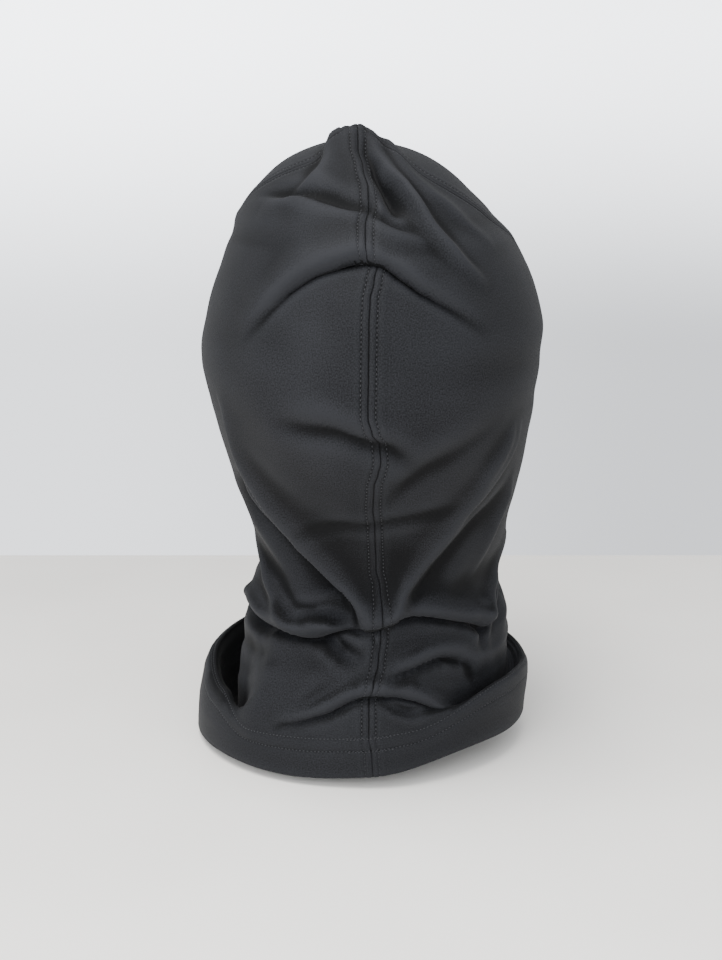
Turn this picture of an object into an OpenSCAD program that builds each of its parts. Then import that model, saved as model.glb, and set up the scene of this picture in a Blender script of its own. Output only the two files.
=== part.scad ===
// Balaclava as worn: a hood of three stretch-fabric panels with an eye opening and a flared neck.
// The face looks along -Y, the wearer's left is +X, and the origin is the middle of the head.
// Every seam is pressed open and cover-stitched: two needle threads outside, one looper thread inside.

/* [Head] */
// Half the width of the hood over the ears
head_half_w = 79; // [72:0.5:86]
// Depth from the middle of the head to the back of the hood
head_back = 95; // [88:0.5:104]
// Depth from the middle of the head to the brow
head_front = 94; // [88:0.5:102]
// Height of the crown above the middle of the head
crown_h = 110; // [100:0.5:120]
// Fullness of the crown: 2 is an ellipsoid and more is squarer
crown_fullness = 2.1; // [2:0.05:2.4]
// How far the fabric stands forward over the nose
nose_rise = 12; // [6:0.5:18]
// Height of the small peak where the seams meet at the crown
peak_rise = 5; // [0:0.5:8]

/* [Neck] */
// Depth below the middle of the head at which the neck is narrowest
neck_drop = 95; // [88:1:104]
// Half the width of the neck
neck_half_w = 58.5; // [52:0.5:66]
// Depth of the neck behind the middle
neck_back = 56; // [50:0.5:64]
// Depth of the throat in front of the middle
neck_front = 60; // [52:0.5:68]
// Depth of the chin in front of the middle
chin_front = 90; // [84:0.5:96]

/* [Hem] */
// Depth of the lower edge below the middle of the head
hood_drop = 175; // [165:1:190]
// Half the width of the lower edge
hem_half_w = 82; // [74:0.5:90]
// Depth of the lower edge behind the middle
hem_back = 74; // [68:0.5:82]
// Depth of the lower edge in front of the middle
hem_front = 86; // [78:0.5:94]
// Height of the turned-up hem
hem_turn = 20; // [16:0.5:24]

/* [Eye opening] */
// Half the width of the opening
eye_half_w = 60; // [52:1:66]
// Height of its upper edge above the middle of the head
eye_top = 34; // [26:1:40]
// Height of its outer corners above the middle of the head
eye_corner_h = 9; // [6:1:14]
// Depth of its lower edge below the middle of the head
eye_bottom = 14; // [8:1:20]

/* [Fabric and thread] */
// Thickness of one layer of fabric
fabric_t = 1.1; // [0.8:0.05:1.6]
// Width of a seam allowance
allowance = 6.5; // [5:0.5:8]
// Gap between two needle threads
needle_gap = 6.4; // [4.8:0.1:8]
// Diameter of a thread
thread_d = 0.35; // [0.25:0.05:0.5]

/* [Hidden] */

FABRIC = "#3c3e42";
THREAD = "#2a2b2e";

chin_drop = 60;             // depth of the chin below the middle of the head
nose_drop = 30;             // depth of the tip of the nose below the middle of the head
nose_half_w = 20;           // reach of the nose's bump to each side
nose_half_h = 21;           // reach of the nose's bump up and down
peak_back = 27;             // depth of the peak behind the middle of the head
peak_drop = 4;              // depth of the seams' meeting point below the crown's height
peak_reach = 11;            // reach of the peak in every direction
eye_corner_front = 65;      // depth of the eye opening's corners in front of the middle
hem_top_drop = hood_drop - hem_turn;
seam_gap = 0.2;             // clear space between the edges of two panels
needle_off = needle_gap / 2;
eye_edge_off = 3;           // edge of the eye opening to its first needle thread
hem_needle_low = 13.6;      // lower edge to the first needle thread of the hem
ribbon_t = 0.3;             // thickness of the looper thread's web
hem_rows = 2;               // rows of a side panel in its turned-up hem
side_rows = 24;
crown_edge_cols = 12;       // columns of a side panel that end on the crown seam
eye_edge_cols = 10;         // columns of a side panel that end on the eye opening
edge_crowding = 1.25;       // how much closer those columns stand near the back seam
hem_crowding = 1.6;         // how much closer the columns stand at both ends of the lower edge
thread_share = 0.98;        // share of the crown seam that its threads cover
crown_rows = 14;
crown_cols = 20;
seam_rings = 60;
hem_rings = 72;

// Outline of the hood below the middle of the head, as [depth, size] with smooth steps between
width_keys = [[0, head_half_w], [neck_drop, neck_half_w], [hem_top_drop, hem_half_w], [hood_drop, hem_half_w]];
back_keys = [[0, head_back], [neck_drop, neck_back], [hem_top_drop, hem_back], [hood_drop, hem_back]];
front_keys = [[0, head_front], [chin_drop, chin_front], [neck_drop + 8, neck_front],
              [hem_top_drop, hem_front], [hood_drop, hem_front]];

function mix(a, b, t) = a + (b - a) * t;
function unit(v) = v / norm(v);
function smooth(q) = q * q * (3 - 2 * q);
function clamp(x, low, high) = min(max(x, low), high);
function stepped(keys, d) =
    let (
        i = max([for (k = [0 : len(keys) - 2]) if (k == 0 || d >= keys[k][0]) k]),
        q = clamp((d - keys[i][0]) / (keys[i + 1][0] - keys[i][0]), 0, 1)
    )
    mix(keys[i][1], keys[i + 1][1], smooth(q));

// Half width, and the depth towards the back (toward > 0) or the front, at a depth below the middle
function half_w(drop) = stepped(width_keys, drop);
function depth(toward, drop) = toward >= 0 ? stepped(back_keys, drop) : stepped(front_keys, drop);
function nose(x, z) = nose_rise * exp(-pow(x / nose_half_w, 2) - pow((z + nose_drop) / nose_half_h, 2));
function peak(x, y) = peak_rise * exp(-(x * x + pow(y - peak_back, 2)) / pow(peak_reach, 2));
function shaped(p) =
    p[2] > 0 ? p + [0, 0, peak(p[0], p[1]) * min(1, p[2] / 50)]
    : p[1] < 0 ? p - [0, nose(p[0], p[2]), 0]
    : p;

// A point of the hood's outside, lifted off it by lift. turn is 0 at the centre back, 90 at the wearer's
// left and 180 at the centre front. level is minus the latitude on the crown and the depth below it.
function skin(turn, level, lift = 0) =
    let (
        on_crown = level < 0,
        round_r = on_crown ? pow(cos(-level), 2 / crown_fullness) : 1,
        drop = on_crown ? 0 : level,
        x = (half_w(drop) + lift) * round_r * sin(turn),
        y = (depth(cos(turn), drop) + lift) * round_r * cos(turn),
        z = on_crown ? (crown_h + lift) * pow(sin(-level), 2 / crown_fullness) : -level
    )
    shaped([x, y, z]);

// The turn and level of a point near the hood, and that point moved onto the hood
function turn_of(p) =
    let (drop = max(0, -p[2]))
    atan2(p[0] / half_w(drop), p[1] / depth(p[1], drop));
function level_of(p) =
    let (
        n = crown_fullness / 2,
        r = norm([p[0] / head_half_w, p[1] / depth(p[1], 0)])
    )
    p[2] <= 0 ? -p[2] : -atan2(pow(p[2] / crown_h, n), pow(r, n));
function snap(p, lift = 0) = skin(turn_of(p), level_of(p), lift);

// The crown seam on the wearer's left, from the centre back to the corner of the eye opening
seam_bend = [
    [0, peak_back, crown_h - peak_drop], [44, 44, crown_h - 6], [head_half_w + 14, -4, crown_h / 2],
    [eye_half_w, -eye_corner_front, eye_corner_h]
];
function bezier(b, t) =
    pow(1 - t, 3) * b[0] + 3 * pow(1 - t, 2) * t * b[1] + 3 * (1 - t) * t * t * b[2] + pow(t, 3) * b[3];
function crown_seam(t) = snap(bezier(seam_bend, t));
eye_corner = crown_seam(1);
eye_corner_turn = turn_of(eye_corner);
eye_corner_level = level_of(eye_corner);
crown_back_level = level_of(crown_seam(0));

// The lower edge of the eye opening, from its corner (t = 0) to the centre front (t = 1)
function eye_edge(t) =
    skin(mix(eye_corner_turn, 180, 1 - cos(90 * t)), mix(eye_corner_level, eye_bottom, sin(90 * t)));

// The hood's outward normal near p, and p moved along the hood by off across a line running from a to b
function outward(p) = unit(snap(p, 1) - snap(p, 0));
function aside(p, a, b, off) = p + off * unit(cross(unit(b - a), outward(p)));

// The upper edge of a side panel runs along the crown seam and then under the eye opening
side_cols = crown_edge_cols + eye_edge_cols;
function spread(q) = q < 0.5 ? pow(2 * q, hem_crowding) / 2 : 1 - pow(2 - 2 * q, hem_crowding) / 2;
function upper_edge(i) =
    i <= crown_edge_cols ? crown_seam(pow(i / crown_edge_cols, edge_crowding))
    : eye_edge((i - crown_edge_cols) / eye_edge_cols);
function upper_fold(i) =
    let (p = upper_edge(i))
    i == 0 ? p + [0, allowance, 0]
    : aside(p, upper_edge(i - 1), upper_edge(min(i + 1, side_cols)), -allowance);
function hem_turn_angle(i) = 180 * spread(i / side_cols);

// A point of a side panel: row 0 is its upper edge, row 1 the fold line of the allowance there
function side_place(i, j) =
    let (
        top = j == 0 ? upper_edge(i) : upper_fold(i),
        body_rows = side_rows - hem_rows,
        q = clamp((j - 1) / (body_rows - 1), 0, 1),
        level = j <= body_rows ? mix(level_of(top), hem_top_drop, q)
            : mix(hem_top_drop, hood_drop, (j - body_rows) / hem_rows),
        turn = mix(turn_of(top), hem_turn_angle(i), smooth(q))
    )
    [i == 0 ? 0 : i == side_cols ? 180 : turn, level];
function side_layers(i, j) =
    i <= 1 || i >= side_cols - 1 || j <= 1 || j >= side_rows - hem_rows ? 2 : 1;
function side_grid(inner) = [
    for (j = [0 : side_rows]) [
        for (i = [side_cols : -1 : 0])
            let (
                at = side_place(i, j),
                p = skin(at[0], at[1], inner ? -side_layers(i, j) * fabric_t : 0),
                edge = j == 0 ? seam_gap / 2 : 0
            )
            [max(p[0], seam_gap / 2), p[1] + edge, p[2] - edge]
    ]
];

// The crown panel: rows from its tip at the peak (t = 0) to the brow (t = 1), each from its right edge
// (s = -1) to its left (s = 1)
brow = snap([0, -head_front, eye_top]);
function over_top(t) =
    let (a = mix(-asin(peak_back / head_front), atan2(-brow[1], brow[2]), t))
    [0, -sin(a) * head_front, cos(a) * crown_h];
function crown_point(s, t, lift = 0) =
    let (
        edge = bezier(seam_bend, t),
        top = over_top(t),
        bow = mix(1 - s * s, sqrt(max(0, 1 - s * s)), t * t),
        gap = seam_gap / 2 * (1 - abs(s) < 0.01 ? 1 : 0)
    )
    snap([s * edge[0], mix(edge[1], top[1], bow) - gap, mix(edge[2], top[2], bow)], lift);
function crown_grid(inner) = [
    for (j = [0 : crown_rows]) [
        for (i = [0 : crown_cols])
            let (
                s = j == 0 ? 1 : -cos(180 * i / crown_cols),
                edge = i <= 1 || i >= crown_cols - 1 || j >= crown_rows - 1 || j == 0
            )
            crown_point(s, j / crown_rows, inner ? -(edge ? 2 : 1) * fabric_t : 0)
    ]
];

// A closed solid between an outer and an inner grid of points
module between(outer, inner) {
    rows = len(outer) - 1;
    cols = len(outer[0]) - 1;
    w = cols + 1;
    half = (rows + 1) * w;
    function at(j, i, k) = k * half + j * w + i;
    function quad(a, b, c, d) = [[a, b, c], [a, c, d]];
    faces = [
        for (j = [0 : rows - 1], i = [0 : cols - 1]) each concat(
            quad(at(j, i, 0), at(j, i + 1, 0), at(j + 1, i + 1, 0), at(j + 1, i, 0)),
            quad(at(j, i, 1), at(j + 1, i, 1), at(j + 1, i + 1, 1), at(j, i + 1, 1))),
        for (i = [0 : cols - 1]) each concat(
            quad(at(0, i, 0), at(0, i, 1), at(0, i + 1, 1), at(0, i + 1, 0)),
            quad(at(rows, i, 0), at(rows, i + 1, 0), at(rows, i + 1, 1), at(rows, i, 1))),
        for (j = [0 : rows - 1]) each concat(
            quad(at(j, 0, 0), at(j + 1, 0, 0), at(j + 1, 0, 1), at(j, 0, 1)),
            quad(at(j, cols, 0), at(j, cols, 1), at(j + 1, cols, 1), at(j + 1, cols, 0)))
    ];
    polyhedron(points = [for (g = [outer, inner], row = g, p = row) p], faces = faces);
}

// A solid of the given section swept along path, a list of [point, outward normal].
// section is a list of [across, outward] offsets.
module swept(path, section, closed = false) {
    n = len(path);
    m = len(section);
    function before(i) = path[closed ? (i + n - 1) % n : max(i - 1, 0)][0];
    function after(i) = path[closed ? (i + 1) % n : min(i + 1, n - 1)][0];
    rings = [
        for (i = [0 : n - 1])
            let (out = path[i][1], across = unit(cross(unit(after(i) - before(i)), out)))
            [for (q = section) path[i][0] + q[0] * across + q[1] * out]
    ];
    sides = [
        for (i = [0 : closed ? n - 1 : n - 2], k = [0 : m - 1])
            let (
                here = i * m,
                next = (i + 1) % n * m,
                l = (k + 1) % m
            )
            each [[here + k, here + l, next + l], [here + k, next + l, next + k]]
    ];
    last = (n - 1) * m;
    ends = closed ? [] : [
        for (k = [1 : m - 2]) each [[0, k + 1, k], [last, last + k, last + k + 1]]
    ];
    polyhedron(points = [for (r = rings, p = r) p], faces = concat(sides, ends));
}

round_section = [for (k = [0 : 5]) thread_d / 2 * [cos(60 * k), sin(60 * k)]];
web_section = [[-needle_off, 0], [needle_off, 0], [needle_off, ribbon_t], [-needle_off, ribbon_t]];
clear = 0.05;                                       // a thread stands this far off the fabric
thread_lift = thread_d / 2 + clear;                 // a needle thread lies on the outside
web_lift = -2 * fabric_t - ribbon_t - clear;        // a looper thread lies on the inside of two layers
joint_lift = -fabric_t;                             // a joining thread runs in the seam, under the outside

// A path along the hood: the points of a line moved sideways by off, at the given lift
function path_on(line, off, lift, closed = false) =
    let (n = len(line))
    [for (i = [0 : n - 1])
        let (
            a = line[closed ? (i + n - 1) % n : max(i - 1, 0)],
            b = line[closed ? (i + 1) % n : min(i + 1, n - 1)],
            p = snap(aside(line[i], a, b, off), lift)
        )
        [p, outward(p)]];

back_seam_line = [
    for (i = [0 : seam_rings]) skin(0.01, mix(crown_back_level + 1, hood_drop - 1, i / seam_rings))
];
front_seam_line = [for (i = [0 : seam_rings]) skin(179.99, mix(eye_bottom + 1, hood_drop - 1, i / seam_rings))];
function mirrored(p) = [-p[0], p[1], p[2]];
half_seam = seam_rings / 2;
crown_seam_line = [
    for (i = [half_seam : -1 : 1]) mirrored(crown_seam(thread_share * i / half_seam)),
    for (i = [0 : half_seam]) crown_seam(thread_share * i / half_seam)
];
quarter_eye = 15;
brow_half = [for (i = [0 : quarter_eye - 1]) crown_point(sin(90 * i / quarter_eye), 1)];
lower_half = [for (i = [0 : quarter_eye]) eye_edge(i / quarter_eye)];
eye_line = concat(
    brow_half, lower_half,
    [for (i = [quarter_eye - 1 : -1 : 0]) mirrored(lower_half[i])],
    [for (i = [quarter_eye - 1 : -1 : 1]) mirrored(brow_half[i])]
);
function hem_line(up) = [for (i = [0 : hem_rings - 1]) skin(-360 * i / hem_rings, hood_drop - up)];

module needle_thread(line, off, closed = false) {
    color(THREAD) swept(path_on(line, off, thread_lift, closed), round_section, closed);
}

module looper_thread(line, off, closed = false) {
    color(THREAD) swept(path_on(line, off, web_lift, closed), web_section, closed);
}

module joining_thread(line) {
    color(THREAD) swept(path_on(line, 0, joint_lift), round_section);
}

module side_panel_left() {
    color(FABRIC) between(side_grid(false), side_grid(true));
}

module side_panel_right() {
    color(FABRIC) mirror([1, 0, 0]) between(side_grid(false), side_grid(true));
}

module crown_panel() {
    color(FABRIC) between(crown_grid(false), crown_grid(true));
}

side_panel_left();
side_panel_right();
crown_panel();
needle_thread(back_seam_line, needle_off);  // back_seam_needle_thread_left
needle_thread(back_seam_line, -needle_off);  // back_seam_needle_thread_right
looper_thread(back_seam_line, 0);  // back_seam_looper_thread
joining_thread(back_seam_line);  // back_seam_joining_thread
needle_thread(crown_seam_line, -needle_off);  // crown_seam_needle_thread_back
needle_thread(crown_seam_line, needle_off);  // crown_seam_needle_thread_front
looper_thread(crown_seam_line, 0);  // crown_seam_looper_thread
joining_thread(crown_seam_line);  // crown_seam_joining_thread
needle_thread(front_seam_line, -needle_off);  // front_seam_needle_thread_left
needle_thread(front_seam_line, needle_off);  // front_seam_needle_thread_right
looper_thread(front_seam_line, 0);  // front_seam_looper_thread
joining_thread(front_seam_line);  // front_seam_joining_thread
needle_thread(eye_line, -eye_edge_off - needle_gap, true);  // eye_hem_needle_thread_outer
needle_thread(eye_line, -eye_edge_off, true);  // eye_hem_needle_thread_inner
looper_thread(eye_line, -eye_edge_off - needle_off, true);  // eye_hem_looper_thread
needle_thread(hem_line(hem_needle_low + needle_gap), 0, true);  // neck_hem_needle_thread_upper
needle_thread(hem_line(hem_needle_low), 0, true);  // neck_hem_needle_thread_lower
looper_thread(hem_line(hem_needle_low + needle_off), 0, true);  // neck_hem_looper_thread
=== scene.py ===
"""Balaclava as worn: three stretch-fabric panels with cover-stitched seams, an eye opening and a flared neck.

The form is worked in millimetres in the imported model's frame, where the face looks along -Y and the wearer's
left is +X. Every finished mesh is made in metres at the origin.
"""

import logging
import math
from dataclasses import dataclass, field
from enum import Enum

import bmesh
import bpy
import numpy as np
from mathutils import Matrix, Vector


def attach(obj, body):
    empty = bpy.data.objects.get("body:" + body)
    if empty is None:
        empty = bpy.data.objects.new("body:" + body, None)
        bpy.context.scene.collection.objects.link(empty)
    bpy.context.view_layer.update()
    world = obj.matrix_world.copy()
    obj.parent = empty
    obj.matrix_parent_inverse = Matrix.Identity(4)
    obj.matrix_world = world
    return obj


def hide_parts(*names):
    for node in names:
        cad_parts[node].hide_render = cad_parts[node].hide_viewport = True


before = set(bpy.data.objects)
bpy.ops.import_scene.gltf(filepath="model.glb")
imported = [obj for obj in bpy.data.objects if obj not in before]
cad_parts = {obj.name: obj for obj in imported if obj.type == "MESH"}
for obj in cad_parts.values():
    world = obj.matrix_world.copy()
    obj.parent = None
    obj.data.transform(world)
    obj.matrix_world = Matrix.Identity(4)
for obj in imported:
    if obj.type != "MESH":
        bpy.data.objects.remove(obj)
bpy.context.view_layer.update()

MM = 0.001
ROOT = "root"
log = logging.getLogger("balaclava")


class Side(Enum):
    """The wearer's side that a piece lies on."""

    LEFT = 1
    RIGHT = -1


class FoldKind(Enum):
    """How the cloth moves along a fold."""

    RIDGE = "ridge"
    CREASE = "crease"
    TUCK = "tuck"


def ease(share: np.ndarray) -> np.ndarray:
    """A smooth step from 0 to 1."""
    share = np.clip(share, 0.0, 1.0)
    return share * share * (3.0 - 2.0 * share)


def blend(low: np.ndarray, high: np.ndarray, share: np.ndarray) -> np.ndarray:
    """A value between low and high at a share of the way."""
    return low + (high - low) * share


def eased(keys: tuple, at: np.ndarray) -> np.ndarray:
    """A value from keys with smooth steps between them.

    Args:
        keys: pairs of place and value, in rising order of place.
        at: where to read them.

    Returns:
        The value at each place.
    """
    at = np.asarray(at, float)
    value = np.full(at.shape, float(keys[0][1]))
    for (start, first), (end, last) in zip(keys, keys[1:]):
        value = np.where(at >= start, blend(first, last, ease((at - start) / (end - start))), value)
    return value


def length(vectors: np.ndarray) -> np.ndarray:
    """The length of each vector, kept as a last axis of one."""
    return np.linalg.norm(vectors, axis=-1, keepdims=True)


def unit(vectors: np.ndarray) -> np.ndarray:
    """Each vector at length one."""
    return vectors / np.maximum(length(vectors), 1e-9)


def hill(at: np.ndarray, centre: float, reach: float) -> np.ndarray:
    """A rounded hill of height one."""
    return np.exp(-(((at - centre) / reach) ** 2))


def steps(*runs: tuple) -> np.ndarray:
    """Numbers that run from start to end in count even steps, one run after the other.

    Args:
        runs: each a (start, end, count) whose end is left out.

    Returns:
        All of them in one row.
    """
    return np.concatenate([np.linspace(start, end, count, endpoint=False) for start, end, count in runs])


def run_along(line: np.ndarray) -> np.ndarray:
    """The distance from a line's first point to each of its points."""
    return np.concatenate([[0.0], np.cumsum(length(np.diff(line, axis=0))[:, 0])])


def read_along(line: np.ndarray, run: np.ndarray, at: np.ndarray) -> np.ndarray:
    """Values along a line.

    Args:
        line: three values at each of its points.
        run: the distance to each point.
        at: the distances to read at.

    Returns:
        Three values at each distance.
    """
    return np.stack([np.interp(at, run, line[:, k]) for k in range(3)], -1)


def even_out(values: np.ndarray) -> None:
    """Evens each row of values out with the two beside it, in place."""
    values[1:-1] = 0.5 * values[1:-1] + 0.25 * (values[:-2] + values[2:])


def settle(point: np.ndarray, share: np.ndarray) -> None:
    """Draws a row of points towards a smooth run, in place.

    Args:
        point: the points.
        share: how far each point but the first and last goes in one round.
    """
    for _ in range(8):
        point[1:-1] = blend(point[1:-1], 0.5 * (point[:-2] + point[2:]), share)


def in_scene(name: str, data: bpy.types.ID) -> bpy.types.Object:
    """An object of a mesh, curve, light or camera, in the scene."""
    made = bpy.data.objects.new(name, data)
    bpy.context.scene.collection.objects.link(made)
    return made


def mesh_from(name: str, bm: bmesh.types.BMesh) -> bpy.types.Mesh:
    """A mesh made from a bmesh, which is then freed."""
    mesh = bpy.data.meshes.new(name)
    bm.to_mesh(mesh)
    bm.free()
    return mesh


@dataclass(frozen=True)
class Fold:
    """A fold of the worn cloth at the back of the hood.

    Attributes:
        name: where it lies.
        kind: how the cloth moves along it.
        path: (across, up, fullness) points in millimetres, from the wearer's left to right or downwards.
        height: how far the cloth moves off the head.
        above: reach on the upper side of the path, or on the wearer's right of a path that runs down.
        below: reach on the other side.
        droop: how far the crest hangs over to the lower side.
        sink: depth of the recess under a tuck.
        spacing: distance between the points that the path is worked out to.
    """

    name: str
    kind: FoldKind
    path: tuple
    height: float
    above: float
    below: float
    droop: float = 0.0
    sink: float = 0.0
    spacing: float = 1.5

    def line(self, form: "HoodForm") -> tuple[np.ndarray, np.ndarray]:
        """The path on the hood's surface.

        Args:
            form: the hood that it lies on.

        Returns:
            Its points and the fullness at each.
        """
        keys = np.array(self.path, float)
        run = run_along(keys[:, :2])
        count = max(4, int(run[-1] / self.spacing))
        values = read_along(keys, run, np.linspace(0.0, run[-1], count))
        for _ in range(4):
            even_out(values)
        return form.on_back(values[:, 0], values[:, 1]), values[:, 2]

    def move(self, form: "HoodForm", place: np.ndarray, outward: np.ndarray) -> np.ndarray:
        """How this fold moves points of the cloth.

        Args:
            form: the hood that they belong to.
            place: the points before any fold.
            outward: the hood's outward direction at each.

        Returns:
            A vector for each point.
        """
        line, fullness = self.line(form)
        far = 3.2 * max(self.above, self.below)
        near = np.all((place > line.min(0) - far) & (place < line.max(0) + far), axis=1)
        moved = np.zeros_like(place)
        if not near.any():
            return moved
        point, normal = place[near], outward[near]
        start, run = line[:-1], np.diff(line, axis=0)
        share = np.einsum("psk,sk->ps", point[:, None] - start, run)
        share = np.clip(share / np.maximum(np.einsum("sk,sk->s", run, run), 1e-6), 0.0, 1.0)
        gap = point[:, None] - (start + share[..., None] * run)
        nearest = np.argmin(np.einsum("psk,psk->ps", gap, gap), axis=1)
        pick = np.arange(len(point))
        gap, share = gap[pick, nearest], share[pick, nearest]
        full = blend(fullness[nearest], fullness[nearest + 1], share)
        upward = unit(np.cross(normal, run[nearest]))
        off = np.where(np.einsum("pk,pk->p", gap, upward) >= 0, 1.0, -1.0) * length(gap)[:, 0]
        lift, slide = self.profile(off)
        moved[near] = (full * lift)[:, None] * normal - (full * slide)[:, None] * upward
        return moved

    def profile(self, off: np.ndarray) -> tuple[np.ndarray, np.ndarray]:
        """The fold's section.

        Args:
            off: distance from the path, positive on its upper side.

        Returns:
            The lift off the head and the slide towards the lower side.
        """
        reach = np.where(off > 0, self.above, self.below)
        rounding = 0.6
        soft = np.sqrt(off * off + rounding ** 2) - rounding
        if self.kind is FoldKind.RIDGE:
            return (self.height * np.exp(-((soft / reach) ** 1.6)),
                    self.droop * np.exp(-((off / (0.8 * reach)) ** 2)))
        if self.kind is FoldKind.CREASE:
            shoulders = 0.3 * hill(np.abs(off), 2.1 * reach, 1.0 * reach)
            return (self.height * (shoulders - np.exp(-soft / reach)), np.zeros_like(off))
        crest = 0.3 * self.above
        bulge = np.where(off > crest, hill(off, crest, 0.65 * self.above), hill(off, crest, 0.95 * crest))
        lift = self.height * bulge - self.sink * hill(off, -0.6, self.below)
        slide = self.droop * ease((off + 1.6) / 2.8) * hill(off, 0.0, 0.7 * self.above)
        return lift, slide


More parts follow.
